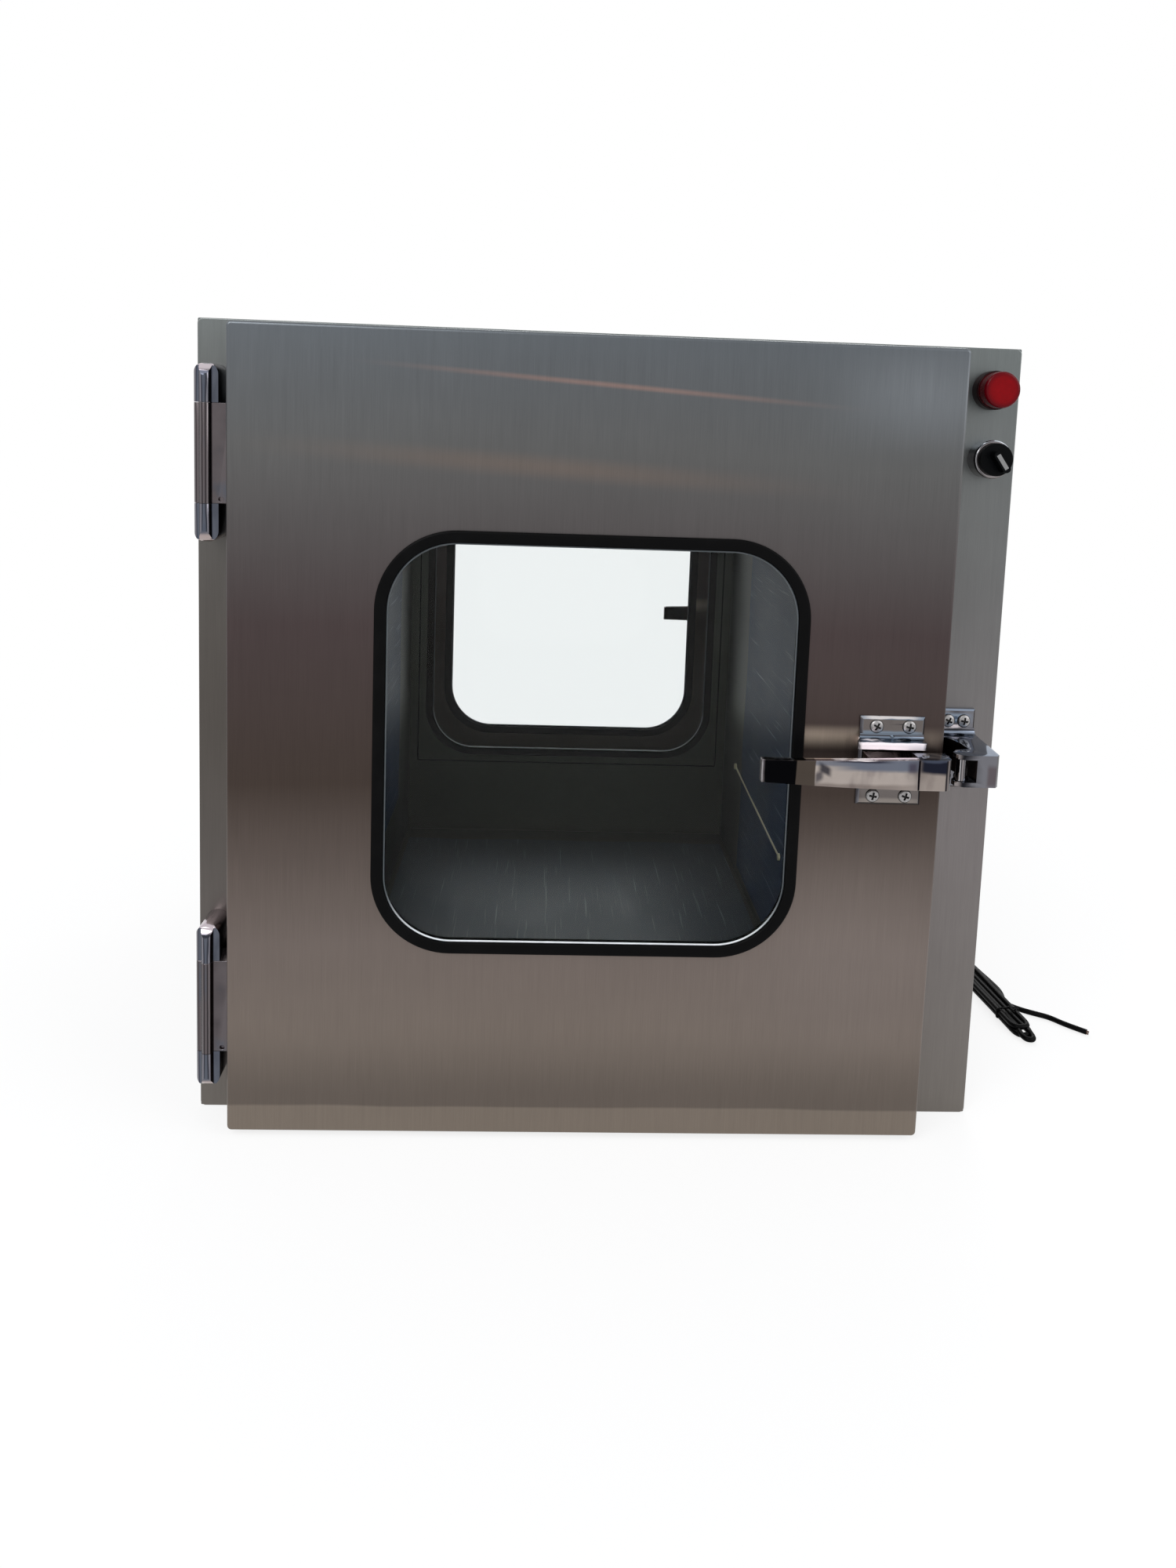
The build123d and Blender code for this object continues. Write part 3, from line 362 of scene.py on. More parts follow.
@dataclass(frozen=True)
class Glint:
    """A soft patch of painted reflection on a surface: a painted highlight or a painted dark reflection."""

    colour: Colour
    x: float
    z: float
    reach_x: float
    reach_z: float
    strength: float = 0.6
    tilt: float = 0.0
    core: float = 0.0
    # lit: how much metal the patch gives up, so that a painted highlight stays pale.
    lit: float = 0.0

    def mask(self, across: Term, up: Term) -> Term:
        """How much of the patch shows at a point.

        Args:
            across: The point's x in metres.
            up: The point's z in metres.

        Returns:
            A mask from 0 to the patch's strength.
        """
        side = abs((across - self.x) * (1 / self.reach_x))
        rise = abs((up - self.z + (across - self.x) * self.tilt) * (1 / self.reach_z))
        near = (1.0 - side.above(self.core, 1.0)) * (1.0 - rise.above(self.core, 1.0))
        return near * self.strength


@dataclass(frozen=True)
class Bright:
    """Chrome plate: its bright and dark tones are painted reflections that turn with the surface, with
    painted reflection blots and faint casting waves.
    """

    name: str
    front: Colour = (0.24, 0.22, 0.225)
    sky: Colour = (0.80, 0.84, 0.92)
    floor: Colour = (0.17, 0.155, 0.15)
    flank: Colour = (0.045, 0.045, 0.05)
    streak: Colour = (0.55, 0.54, 0.56)
    reflection_blot: Colour = (0.06, 0.055, 0.06)
    reflection_blot_share: float = 0.5
    roughness: float = 0.11
    waviness: float = 0.00010
    painted_reflections: tuple[Glint, ...] = ()
    final_painted_reflections: tuple[Glint, ...] = ()
    ragged: float = 0.004

    def build(self) -> bpy.types.Material:
        """Makes the material."""
        recipe = Recipe(self.name)
        place = recipe.place()
        facing = recipe.node("ShaderNodeTexCoord", output="Normal")
        wave = recipe.noise(place, 60.0, 2.0)
        reflection_noise = recipe.noise(recipe.stretched(place, (1.0, 1.0, 0.5)), 46.0, 3.0, 0.55)
        x, _, z = recipe.parts(place)
        x = abs(x) + (reflection_noise - 0.5) * self.ragged
        z = z + (wave - 0.5) * self.ragged * 0.6
        across, _, up = recipe.parts(facing)
        side = abs(across) + (wave - 0.5) * 0.14
        # Painted reflection: dark blots over the front tone.
        tone: Any = recipe.mix(reflection_noise.above(0.50, 0.66) * self.reflection_blot_share, self.front, self.reflection_blot)
        for painted_patch in self.painted_reflections:
            tone = recipe.mix(painted_patch.mask(x, z), tone, painted_patch.colour)
        # Painted reflections by which way the surface faces: dark flanks, a pale streak, the sky above and
        # the floor below.
        tone = recipe.mix(side.above(0.08, 0.26), tone, self.flank)
        tone = recipe.mix(side.above(0.30, 0.50), tone, self.streak)
        tone = recipe.mix(side.above(0.54, 0.74), tone, self.flank)
        tone = recipe.mix(side.above(0.84, 0.98), tone, self.front)
        rise = up + (wave - 0.5) * 0.10
        tone = recipe.mix(rise.above(0.20, 0.36), tone, self.flank)
        tone = recipe.mix(rise.above(0.42, 0.66), tone, self.sky)
        tone = recipe.mix((rise * -1.0).above(0.30, 0.60), tone, self.floor)
        metal: Any = 1.0
        # Painted highlights and painted dark reflections laid over all; the pale ones give up metal so that
        # they stay pale.
        for painted_patch in self.final_painted_reflections:
            share = painted_patch.mask(x, z)
            tone = recipe.mix(share, tone, painted_patch.colour)
            if painted_patch.lit:
                metal = metal * (1.0 - share * painted_patch.lit)
        rub = recipe.noise(place, 320.0, 3.0, 0.65).above(0.55, 0.85)
        recipe.set(
            Base_Color=recipe.tinted(tone, 0.92 + wave * 0.16),
            Metallic=metal,
            Roughness=self.roughness + rub * 0.08,
            Normal=recipe.bump(wave, 0.4, self.waviness),
        )
        return recipe.material


@dataclass(frozen=True)
class ScrewSteel:
    """Plain steel screws: pale domed heads, with painted shade down in the cross and round the rim."""

    name: str
    colour: Colour = (0.34, 0.33, 0.33)
    roughness: float = 0.28

    def build(self) -> bpy.types.Material:
        """Makes the material."""
        recipe = Recipe(self.name)
        place = recipe.place()
        grime = recipe.noise(place, 700.0, 3.0, 0.6)
        swirl = recipe.noise(place, 2600.0, 2.0)
        recess_shade = recipe.node("ShaderNodeAttribute", {"attribute_name": "shade"}, output="Fac")
        plain = recipe.mix(grime.above(0.5, 0.75), self.colour, tuple(c * 0.55 for c in self.colour))
        # Painted shade in the cross and round the rim, read from the shade attribute.
        recipe.set(
            Base_Color=recipe.mix(recess_shade, plain, tuple(c * 0.08 for c in self.colour)),
            Metallic=0.95,
            Roughness=self.roughness + grime * 0.12,
            Normal=recipe.bump(swirl, 0.3, 0.00002),
        )
        return recipe.material


@dataclass(frozen=True)
class Moulded:
    """Moulded plastic or rubber with a fine texture and dusty wear."""

    name: str
    colour: Colour
    roughness: float = 0.45
    texture: float = 900.0
    depth: float = 0.00003
    dust: float = 0.05
    specular: float = 0.5

    def build(self) -> bpy.types.Material:
        """Makes the material."""
        recipe = Recipe(self.name)
        place = recipe.place()
        pores = recipe.noise(place, self.texture, 2.0)
        wear = recipe.noise(place, 38.0, 4.0, 0.6).above(0.45, 0.8)
        dusty = tuple(c * (1 - self.dust) + 0.4 * self.dust for c in self.colour)
        recipe.set(
            Base_Color=recipe.mix(wear, self.colour, dusty),
            Roughness=self.roughness + wear * 0.12 + (pores - 0.5) * 0.08,
            Normal=recipe.bump(pores, 0.4, self.depth),
            Specular_IOR_Level=self.specular,
        )
        return recipe.material


@dataclass(frozen=True)
class LensRed:
    """The pilot lamp's lens: deep red, darker towards its rim, with fine moulded rings inside."""

    name: str
    middle: Colour
    rim: Colour
    centre: tuple[float, float]
    radius: float = 0.0136
    rings: float = 9.0

    def build(self) -> bpy.types.Material:
        """Makes the material."""
        recipe = Recipe(self.name)
        across, _, up = recipe.parts(recipe.place())
        off_x = (across - self.centre[0]) * (1 / self.radius)
        off_z = (up - self.centre[1]) * (1 / self.radius)
        away = (off_x * off_x + off_z * off_z) ** 0.5
        glow = recipe.noise(recipe.place(), 150.0, 2.0)
        ring = recipe.node("ShaderNodeMath", {"operation": "SINE"}, {0: away * (self.rings * math.tau)})
        tone = recipe.mix((away + (glow - 0.5) * 0.3).above(0.55, 1.02), self.middle, self.rim)
        recipe.set(
            Base_Color=recipe.tinted(tone, 0.9 + ring * 0.02 + (glow - 0.5) * 0.5),
            Roughness=0.16 + glow * 0.06,
            Normal=recipe.bump(ring * 0.5 + 0.5, 0.08, 0.0001),
            Specular_IOR_Level=0.10,
        )
        return recipe.material


@dataclass(frozen=True)
class PaneEdgeHighlight:
    """A pale line at the pane's edge with a painted highlight: bright along the sill and dim under the head
    of the window.
    """

    name: str
    sill_highlight: Colour
    head: Colour
    low: float
    high: float

    def build(self) -> bpy.types.Material:
        """Makes the material."""
        recipe = Recipe(self.name)
        place = recipe.place()
        _, _, up = recipe.parts(place)
        chips = recipe.noise(place, 90.0, 3.0, 0.6)
        # Painted highlight: pale along the sill, dimming towards the head.
        climb = (up + (chips - 0.5) * 0.006).above(self.low, self.high)
        recipe.set(
            Base_Color=recipe.tinted(recipe.mix(climb, self.sill_highlight, self.head), 0.7 + chips * 0.6),
            Roughness=0.25 + chips * 0.1,
            Normal=recipe.bump(chips, 0.3, 0.0002),
        )
        return recipe.material


@dataclass(frozen=True)
class Pane:
    """Clear tempered glass with faint dust."""

    name: str
    tint: Colour = (0.96, 0.97, 0.97)
    roughness: float = 0.01

    def build(self) -> bpy.types.Material:
        """Makes the material."""
        recipe = Recipe(self.name)
        smudge = recipe.noise(recipe.place(), 14.0, 4.0, 0.6).above(0.5, 0.85)
        recipe.set(
            Base_Color=self.tint,
            Roughness=smudge * 0.03 + self.roughness,
            Transmission_Weight=1.0,
            IOR=1.12,
        )
        return recipe.material


@dataclass(frozen=True)
class Film:
    """Blue-grey protective film still on a sheet, with fine scratches and wrinkles."""

    name: str
    colour: Colour
    mark: Colour

    def build(self) -> bpy.types.Material:
        """Makes the material."""
        recipe = Recipe(self.name)
        place = recipe.place()
        scratches: Any = None
        for turn in (0.5, -0.7, 1.2):
            turned = recipe.node(
                "ShaderNodeMapping",
                values={"Vector": place, "Rotation": (turn, turn, turn), "Scale": (1.0, 0.02, 1.0)},
            )
            marks = recipe.noise(turned, 420.0, 2.0).above(0.66, 0.74)
            scratches = marks if scratches is None else scratches + marks
        wrinkle = recipe.noise(recipe.stretched(place, (1.0, 0.35, 1.0)), 26.0, 3.0, 0.55)
        recipe.set(
            Base_Color=recipe.mix(
                scratches * 0.35,
                recipe.tinted(self.colour, 0.75 + wrinkle * 0.5),
                self.mark,
            ),
            Roughness=0.42 + wrinkle * 0.2,
            Normal=recipe.bump(wrinkle, 0.5, 0.0012),
            Specular_IOR_Level=0.25,
        )
        return recipe.material


# ---- Mesh helpers ----


def finish_mesh(name: str, mesh: bpy.types.Mesh, smooth: float | None = 0.6) -> bpy.types.Object:
    """Links a mesh as an object at the origin.

    Args:
        name: The piece's name.
        mesh: Its mesh, already in its place in metres.
        smooth: The angle in radians under which edges look smooth, or None for flat faces.

    Returns:
        The object.
    """
    piece = bpy.data.objects.new(name, mesh)
    bpy.context.scene.collection.objects.link(piece)
    if smooth is not None:
        mesh.shade_smooth()
        mesh.set_sharp_from_angle(angle=smooth)
    return piece


def dress(piece: bpy.types.Object, material: bpy.types.Material) -> None:
    """Gives a piece one material."""
    piece.data.materials.clear()
    piece.data.materials.append(material)


def joined(name: str, meshes: Sequence[bmesh.types.BMesh], smooth: float = 0.6) -> bpy.types.Object:
    """Makes one object from several meshes, with faces turned outwards.

    Args:
        name: The piece's name.
        meshes: Meshes in their places, freed here.
        smooth: The angle in radians under which edges look smooth.

    Returns:
        The object.
    """
    mesh = bpy.data.meshes.new(name)
    whole = bmesh.new()
    for part in meshes:
        bmesh.ops.recalc_face_normals(part, faces=part.faces[:])
        step = bpy.data.meshes.new("step")
        part.to_mesh(step)
        part.free()
        whole.from_mesh(step)
        bpy.data.meshes.remove(step)
    whole.to_mesh(mesh)
    whole.free()
    return finish_mesh(name, mesh, smooth)


def lathe(
    profile: Sequence[tuple[float, float]], axis: Vector, centre: Vector, segments: int = 48
) -> bmesh.types.BMesh:
    """Turns a closed profile round an axis.

    Args:
        profile: (radius, distance along the axis) pairs, from axis to axis.
        axis: The unit axis.
        centre: The point where the distance is 0.
        segments: Steps round the axis.

    Returns:
        The closed mesh.
    """
    turned = bmesh.new()
    side = axis.orthogonal().normalized()
    other = axis.cross(side)
    rings = []
    for radius, along in profile:
        middle = centre + axis * along
        if radius <= 0:
            rings.append([turned.verts.new(middle)])
            continue
        rings.append(
            [
                turned.verts.new(
                    middle
                    + side * (radius * math.cos(math.tau * step / segments))
                    + other * (radius * math.sin(math.tau * step / segments))
                )
                for step in range(segments)
            ]
        )
    for low, high in zip(rings, rings[1:]):
        for step in range(segments):
            after = (step + 1) % segments
            corners = [
                low[step % len(low)],
                low[after % len(low)],
                high[after % len(high)],
                high[step % len(high)],
            ]
            unique = list(dict.fromkeys(corners))
            if len(unique) > 2:
                turned.faces.new(unique)
    return turned


def swept(path: Sequence[Vector], radius: float, segments: int = 12) -> bmesh.types.BMesh:
    """A round bar along points, with closed ends.

    Args:
        path: The centre line.
        radius: The bar's radius.
        segments: Steps round it.

    Returns:
        The closed mesh.
    """
    tube = bmesh.new()
    rings = []
    side = (path[1] - path[0]).orthogonal().normalized()
    for index, point in enumerate(path):
        before, after = path[max(index - 1, 0)], path[min(index + 1, len(path) - 1)]
        along = (after - before).normalized()
        side = (side - along * side.dot(along)).normalized()
        other = along.cross(side)
        rings.append(
            [
                tube.verts.new(
                    point
                    + side * (radius * math.cos(math.tau * step / segments))
                    + other * (radius * math.sin(math.tau * step / segments))
                )
                for step in range(segments)
            ]
        )
    for low, high in zip(rings, rings[1:]):
        for step in range(segments):
            after = (step + 1) % segments
            tube.faces.new([low[step], low[after], high[after], high[step]])
    tube.faces.new(rings[0][::-1])
    tube.faces.new(rings[-1])
    return tube


# ---- Geometry Nodes trees ----


class Tree:
    """One Geometry Nodes tree with named inputs."""

    def __init__(self, name: str) -> None:
        """Starts an empty tree with a mesh output.

        Args:
            name: The tree's name.
        """
        self.group = bpy.data.node_groups.new(name, "GeometryNodeTree")
        self.group.interface.new_socket("Mesh", in_out="OUTPUT", socket_type="NodeSocketGeometry")
        self.inside = self.group.nodes.new("NodeGroupInput")
        self.outside = self.group.nodes.new("NodeGroupOutput")
        self.names: dict[str, str] = {}

    def size(self, name: str, value: float | int, kind: str = "NodeSocketFloat") -> Any:
        """Adds a named input and hands back its socket.

        Args:
            name: The input's name.
            value: Its default.
            kind: The socket's type.

        Returns:
            The group input's output socket.
        """
        made = self.group.interface.new_socket(name, in_out="INPUT", socket_type=kind)
        if value is not None:
            made.default_value = value
        self.names[name] = made.identifier
        return self.inside.outputs[name]

    def node(
        self,
        kind: str,
        settings: dict[str, Any] | None = None,
        values: dict[Any, Any] | None = None,
    ) -> Any:
        """Adds a node, sets it up and feeds its sockets."""
        made = self.group.nodes.new(kind)
        for key, value in (settings or {}).items():
            setattr(made, key, value)
        for key, value in (values or {}).items():
            if isinstance(value, bpy.types.NodeSocket):
                self.group.links.new(value, made.inputs[key])
            else:
                made.inputs[key].default_value = value
        return made

    def close(self, mesh: Any, material: bpy.types.Material) -> None:
        """Ends the tree in Realize Instances and Set Material."""
        real = self.node("GeometryNodeRealizeInstances", values={"Geometry": mesh})
        coated = self.node(
            "GeometryNodeSetMaterial", values={"Geometry": real.outputs[0], "Material": material}
        )
        self.group.links.new(coated.outputs[0], self.outside.inputs[0])

    def grow(
        self,
        name: str,
        sizes: dict[str, Any],
        smooth: float = 0.6,
        base: bpy.types.Mesh | None = None,
        place: Matrix | None = None,
    ) -> bpy.types.Object:
        """Runs the tree once and hands back its result as a plain piece.

        Args:
            name: The piece's name.
            sizes: Values for the named inputs.
            smooth: The angle in radians under which edges look smooth.
            base: The mesh that goes in, if the tree reads one.
            place: Where the result goes, put into its mesh.

        Returns:
            The piece.
        """
        carrier = bpy.data.objects.new(name + "_carrier", base or bpy.data.meshes.new("seed"))
        bpy.context.scene.collection.objects.link(carrier)
        modifier = carrier.modifiers.new("tree", "NODES")
        modifier.node_group = self.group
        for key, value in sizes.items():
            modifier[self.names[key]] = value
        view = bpy.context.evaluated_depsgraph_get()
        mesh = bpy.data.meshes.new_from_object(carrier.evaluated_get(view))
        carrier.modifiers.remove(modifier)
        bpy.data.objects.remove(carrier)
        mesh.name = name
        if place is not None:
            mesh.transform(place)
        return finish_mesh(name, mesh, smooth)


# ---- Sub-assemblies ----


@dataclass
class MainsLead:
    """The black mains lead: out of its gland, down to the floor, folded in a hank, then a short tail."""

    sheath: bpy.types.Material
    wire: bpy.types.Material
    diameter: float = 0.005
    length: float = 1.6
    rear: tuple[float, float] = (0.3935, 0.040)
    front: tuple[float, float] = (0.4120, -0.160)
    floor_z: float = 0.0026
    upper_z: float = 0.0072
    out_of_gland: tuple[Point, ...] = (
        (0.3430, 0.1600, 0.0450),
        (0.3570, 0.1600, 0.0450),
        (0.3710, 0.1570, 0.0380),
        (0.3820, 0.1510, 0.0240),
        (0.3895, 0.1410, 0.0095),
        (0.3945, 0.1250, 0.0029),
        (0.3975, 0.1060, 0.0027),
        (0.3982, 0.0860, 0.0027),
        (0.3962, 0.0640, 0.0027),
        (0.3939, 0.0370, 0.0027),
    )
    tail: tuple[Point, ...] = (
        (0.4140, -0.0950, 0.0027),
        (0.4240, -0.1065, 0.0027),
        (0.4360, -0.1145, 0.0027),
        (0.4485, -0.1215, 0.0027),
        (0.4580, -0.1345, 0.0027),
        (0.4725, -0.1475, 0.0027),
    )

    def spot(self, along: float, aside: float, height: float) -> Point:
        """A point in the hank.

        Args:
            along: Metres from the hank's rear end towards its front end.
            aside: Metres to the right of its middle line.
            height: Its z.

        Returns:
            The point.
        """
        run = Vector(self.front) - Vector(self.rear)
        unit = run.normalized()
        spot = Vector(self.rear) + unit * along + Vector((-unit.y, unit.x)) * aside
        return spot.x, spot.y, height

    def hank(self) -> list[Point]:
        """The folded runs: wide folds at both ends, and the last run bowed out beside the rest.

        Returns:
            The runs' points, in order.
        """
        low, middle, high = self.floor_z, 0.0052, self.upper_z
        left, right, half = -0.0078, 0.0078, 0.0026
        wide_front = (
            (0.178, 1.00),
            (0.189, 0.98),
            (0.1945, 0.62),
            (0.1945, -0.62),
            (0.189, -0.98),
            (0.178, -1.00),
        )
        runs: list[tuple[float, float, float]] = [
            (0.040, left, low),
            (0.075, left - 0.0006, low),
            (0.115, left, low),
            (0.150, left + 0.0004, low),
            *((along, left * share, low) for along, share in wide_front),
            (0.140, right + 0.0006, low),
            (0.100, right, low),
            (0.060, right - 0.0004, low),
            (0.022, right, low),
            (0.010, right * 0.98, low + 0.0010),
            (0.004, right * 0.60, middle),
            (0.004, left * 0.60, high - 0.0010),
            (0.010, left * 0.98, high),
            (0.022, left, high),
            (0.062, left + 0.0006, high),
            (0.102, left - 0.0004, high),
            (0.140, left, high),
            *((along - 0.0065, left * share, high - 0.0004) for along, share in wide_front),
            (0.130, right - 0.0004, high),
            (0.090, right + 0.0005, high),
            (0.052, right, high),
            (0.026, right, high),
            (0.014, right * 0.94, high + 0.0006),
            (0.0085, right * 0.50, high + 0.0010),
            (0.0085, -half * 0.6, high),
            (0.015, -half, middle + 0.0008),
            (0.034, -half, middle),
            (0.080, -half + 0.0004, middle),
            (0.130, -half - 0.0003, middle),
            (0.172, -half, middle),
            (0.188, -0.0040, middle),
            (0.1975, -0.0052, 0.0040),
            (0.2035, -0.0030, 0.0032),
            (0.2035, 0.0034, 0.0030),
            (0.1975, 0.0054, 0.0036),
            (0.188, 0.0040, middle),
            (0.170, half, middle),
            (0.120, half + 0.0004, middle),
            (0.070, half, middle),
            (0.036, half, middle + 0.0010),
            (0.020, half, high + 0.0028),
            (0.009, 0.0042, 0.0118),
            (0.0075, 0.0110, 0.0114),
            (0.016, 0.0136, 0.0070),
            (0.030, 0.0134, low),
            (0.066, 0.0134, low),
            (0.098, 0.0162, low),
            (0.119, 0.0160, low),
        ]
        return [self.spot(*run) for run in runs]

    def route(self) -> list[Point]:
        """Every control point, from the gland to the bare end."""
        return [*self.out_of_gland[:-1], *self.hank(), *self.tail]

    def draw(self) -> bpy.types.Object:
        """Draws the lead as one smooth spline."""
        curve = bpy.data.curves.new("mains_lead", "CURVE")
        curve.dimensions = "3D"
        curve.bevel_depth = self.diameter / 2
        curve.bevel_resolution = 4
        curve.resolution_u = 10
        curve.use_fill_caps = True
        spline = curve.splines.new("NURBS")
        route = self.route()
        spline.points.add(len(route) - 1)
        for point, place in zip(spline.points, route):
            point.co = (*place, 1.0)
        spline.order_u = 3
        spline.use_endpoint_u = True
        piece = bpy.data.objects.new("mains_lead_folded", curve)
        bpy.context.scene.collection.objects.link(piece)
        curve.materials.append(self.sheath)
        return piece

    def tie(self) -> bpy.types.Object:
        """The black tie round the hank, with its two twisted ends on top."""
        along, half, middle, rise, wire = 0.1600, 0.0110, 0.0, 0.0104, 0.0008
        loop = []
        for step in range(49):
            turn = math.tau * step / 48
            square = 0.35
            cosine, sine = math.cos(turn), math.sin(turn)
            aside = middle + half * math.copysign(abs(cosine) ** square, cosine)
            height = rise / 2 + wire / 2 + (rise / 2 - wire * 0.4) * math.copysign(abs(sine) ** square, sine)
            loop.append(Vector(self.spot(along, aside, height)))
        bands = [swept(loop, wire, 8)]
        for side in (0.0, math.pi):
            twist = [
                Vector(
                    self.spot(
                        along + 0.0006 * step,
                        middle + 0.0009 * math.cos(side + step * 0.9),
                        min(0.0108 + 0.0004 * step, 0.0128) + 0.0009 * math.sin(side + step * 0.9),
                    )
                )
                for step in range(18)
            ]
            bands.append(swept(twist, wire * 0.8, 8))
        piece = joined("lead_tie", bands)
        dress(piece, self.sheath)
        return piece

    def cores(self) -> bpy.types.Object:
        """The three short wires where the sheath has been cut."""
        end, before = Vector(self.tail[-1]), Vector(self.tail[-2])
        along = (end - before).normalized()
        side = Vector((-along.y, along.x, 0.0))
        strands = []
        for step in range(3):
            turn = math.tau * step / 3
            off = side * (0.0011 * math.cos(turn)) + Vector((0, 0, 0.0011 * math.sin(turn)))
            strands.append(
                swept([end - along * 0.002 + off, end + off, end + along * 0.0018 + off * 1.2], 0.0008, 10)
            )
        piece = joined("lead_wires", strands)
        dress(piece, self.wire)
        return piece

    def build(self) -> None:
        lead, tie, cores = self.draw(), self.tie(), self.cores()
        for piece in (lead, tie, cores):
            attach(piece, "root")
        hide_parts("mains_lead", "mains_hank", "mains_tail")
        LOG.info("mains lead: %d control points", len(self.route()))


@dataclass
class GlazingRubber:
    """The four rounded rubbers that hold the panes in the doors."""

    rubber: bpy.types.Material
    edge_highlight: bpy.types.Material
    face: float = 0.009
    lip: float = 0.0032
    corner: float = 0.060
    web: float = 0.0025
    grip: float = 0.0045
    pad_margin: float = 0.009
    pad_base: float = 0.0083

    def ring(self, tree: Tree, size: Any, corner: Any, width: Any, depth: Any, soft: Any, out: Any) -> Any:
        """Adds one rounded bar, swept round a square with round corners.

        Args:
            tree: The tree that it goes in.
            size: The centre line's width and height.
            corner: The centre line's corner radius.
            width: The bar's width in the window's plane.
            depth: The bar's depth.
            soft: The radius of the bar's own edges.
            out: How far forward it stands.

        Returns:
            The geometry socket.
        """
        square = tree.node("GeometryNodeCurvePrimitiveQuadrilateral", values={"Width": size, "Height": size})
        path = tree.node(
            "GeometryNodeFilletCurve",
            {"mode": "POLY"},
            {"Curve": square.outputs[0], "Count": 20, "Radius": corner, "Limit Radius": True},
        )
        upright = tree.node("GeometryNodeSetCurveNormal", {"mode": "Z_UP"}, {"Curve": path.outputs[0]})
        shape = tree.node("GeometryNodeCurvePrimitiveQuadrilateral", values={"Width": width, "Height": depth})
        rounded = tree.node(
            "GeometryNodeFilletCurve",
            {"mode": "POLY"},
            {"Curve": shape.outputs[0], "Count": 5, "Radius": soft, "Limit Radius": True},
        )
        bar = tree.node(
            "GeometryNodeCurveToMesh",
            values={"Curve": upright.outputs[0], "Profile Curve": rounded.outputs[0]},
        )
        offset = tree.node("ShaderNodeCombineXYZ", values={"Z": out})
        moved = tree.node(
            "GeometryNodeTransform", values={"Geometry": bar.outputs[0], "Translation": offset.outputs[0]}
        )
        return moved.outputs[0]

    def tree(self, name: str, bars: int, material: bpy.types.Material) -> Tree:
        """Makes a tree of one or more bars round the same window.

        Args:
            name: The tree's name.
            bars: How many bars it has.
            material: What covers them.

        Returns:
            The tree.
        """
        tree = Tree(name)
        together = tree.node("GeometryNodeJoinGeometry")
        for index in range(bars):
            label = f"Bar {index + 1} "
            made = self.ring(
                tree,
                tree.size(label + "size", 0.3),
                tree.size(label + "corner", 0.05),
                tree.size(label + "width", 0.009),
                tree.size(label + "depth", 0.003),
                tree.size(label + "soft edge", 0.0014),
                tree.size(label + "out", 0.0),
            )
            tree.group.links.new(made, together.inputs[0])
        tree.close(together.outputs[0], material)
        return tree

    @staticmethod
    def sizes(bars: Sequence[tuple[float, float, float, float, float, float]]) -> dict[str, float]:
        """Names each bar's numbers for the tree."""
        words = ("size", "corner", "width", "depth", "soft edge", "out")
        return {
            f"Bar {index + 1} {word}": value
            for index, bar in enumerate(bars)
            for word, value in zip(words, bar)
        }

    def build(self) -> None:
        """Makes the four rubbers, each with a thin pale line where it meets the pane, which is a painted
        highlight.
        """
        rubbers = self.tree("glazing rubber", 3, self.rubber)
        painted_line_tree = self.tree("pane bead", 1, self.edge_highlight)
        for side in ("front", "rear"):
            for layer in ("outer", "inner"):
                node = f"{side}_{layer}_gasket"
                low, high = (Vector(corner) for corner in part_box(node))
                size = high.x - low.x
                depth = high.y - low.y
                faces_front = (side == "front") == (layer == "outer")
                clear = size - 2 * self.face
                span, bend = size - self.face, self.corner - self.face / 2
                bars = [
                    (span, bend, self.face, self.lip, 0.00155, depth - self.lip / 2),
                    (
                        size - 2 * self.grip - self.web,
                        self.corner - self.grip - self.web / 2,
                        self.web,
                        depth - self.lip,
                        0.0003,
                        depth / 2,
                    ),
                    (span, bend, self.face, self.lip * 0.8, 0.0012, self.lip * 0.4),
                ]
                turn = Matrix.Rotation(math.radians(90 if faces_front else -90), 4, "X")
                back = high.y if faces_front else low.y
                place = Matrix.Translation(((low.x + high.x) / 2, back, (low.z + high.z) / 2)) @ turn
                piece = rubbers.grow(f"{node}_round", self.sizes(bars), 0.9, place=place)
                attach(piece, f"{side}_door")
                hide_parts(node)
                # The thin pale ring at the pane's edge: a painted highlight.
                edge = (
                    clear - 0.0010,
                    self.corner - self.face,
                    0.0013,
                    0.0012,
                    0.0005,
                    depth - self.lip + 0.0004,
                )
                line = painted_line_tree.grow(
                    f"{node}_bead",
                    self.sizes([edge]),
                    0.9,
                    place=place,
                )
                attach(line, f"{side}_door")
                LOG.info("%s", piece.name)
                if layer == "inner":
                    self.pad_step_shade(painted_line_tree, side, place, size)

    def pad_step_shade(self, painted_line_tree: Tree, side: str, place: Matrix, size: float) -> None:
        """A thin dark ring round the raised pad on a door's back: painted shade along the pad's step.

        Args:
            painted_line_tree: The tree that sweeps one bar.
            side: Which door.
            place: The window's own place.
            size: The gasket's outside size.
        """
        pad = size + 2 * self.pad_margin
        base = place @ Matrix.Translation((0, 0, self.pad_base))
        step_shade = painted_line_tree.grow(
            f"{side}_pad_joint", self.sizes([(pad, 0.0015, 0.0016, 0.0010, 0.0003, 0.0)]), 0.9, place=base
        )
        dress(step_shade, self.rubber)
        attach(step_shade, f"{side}_door")


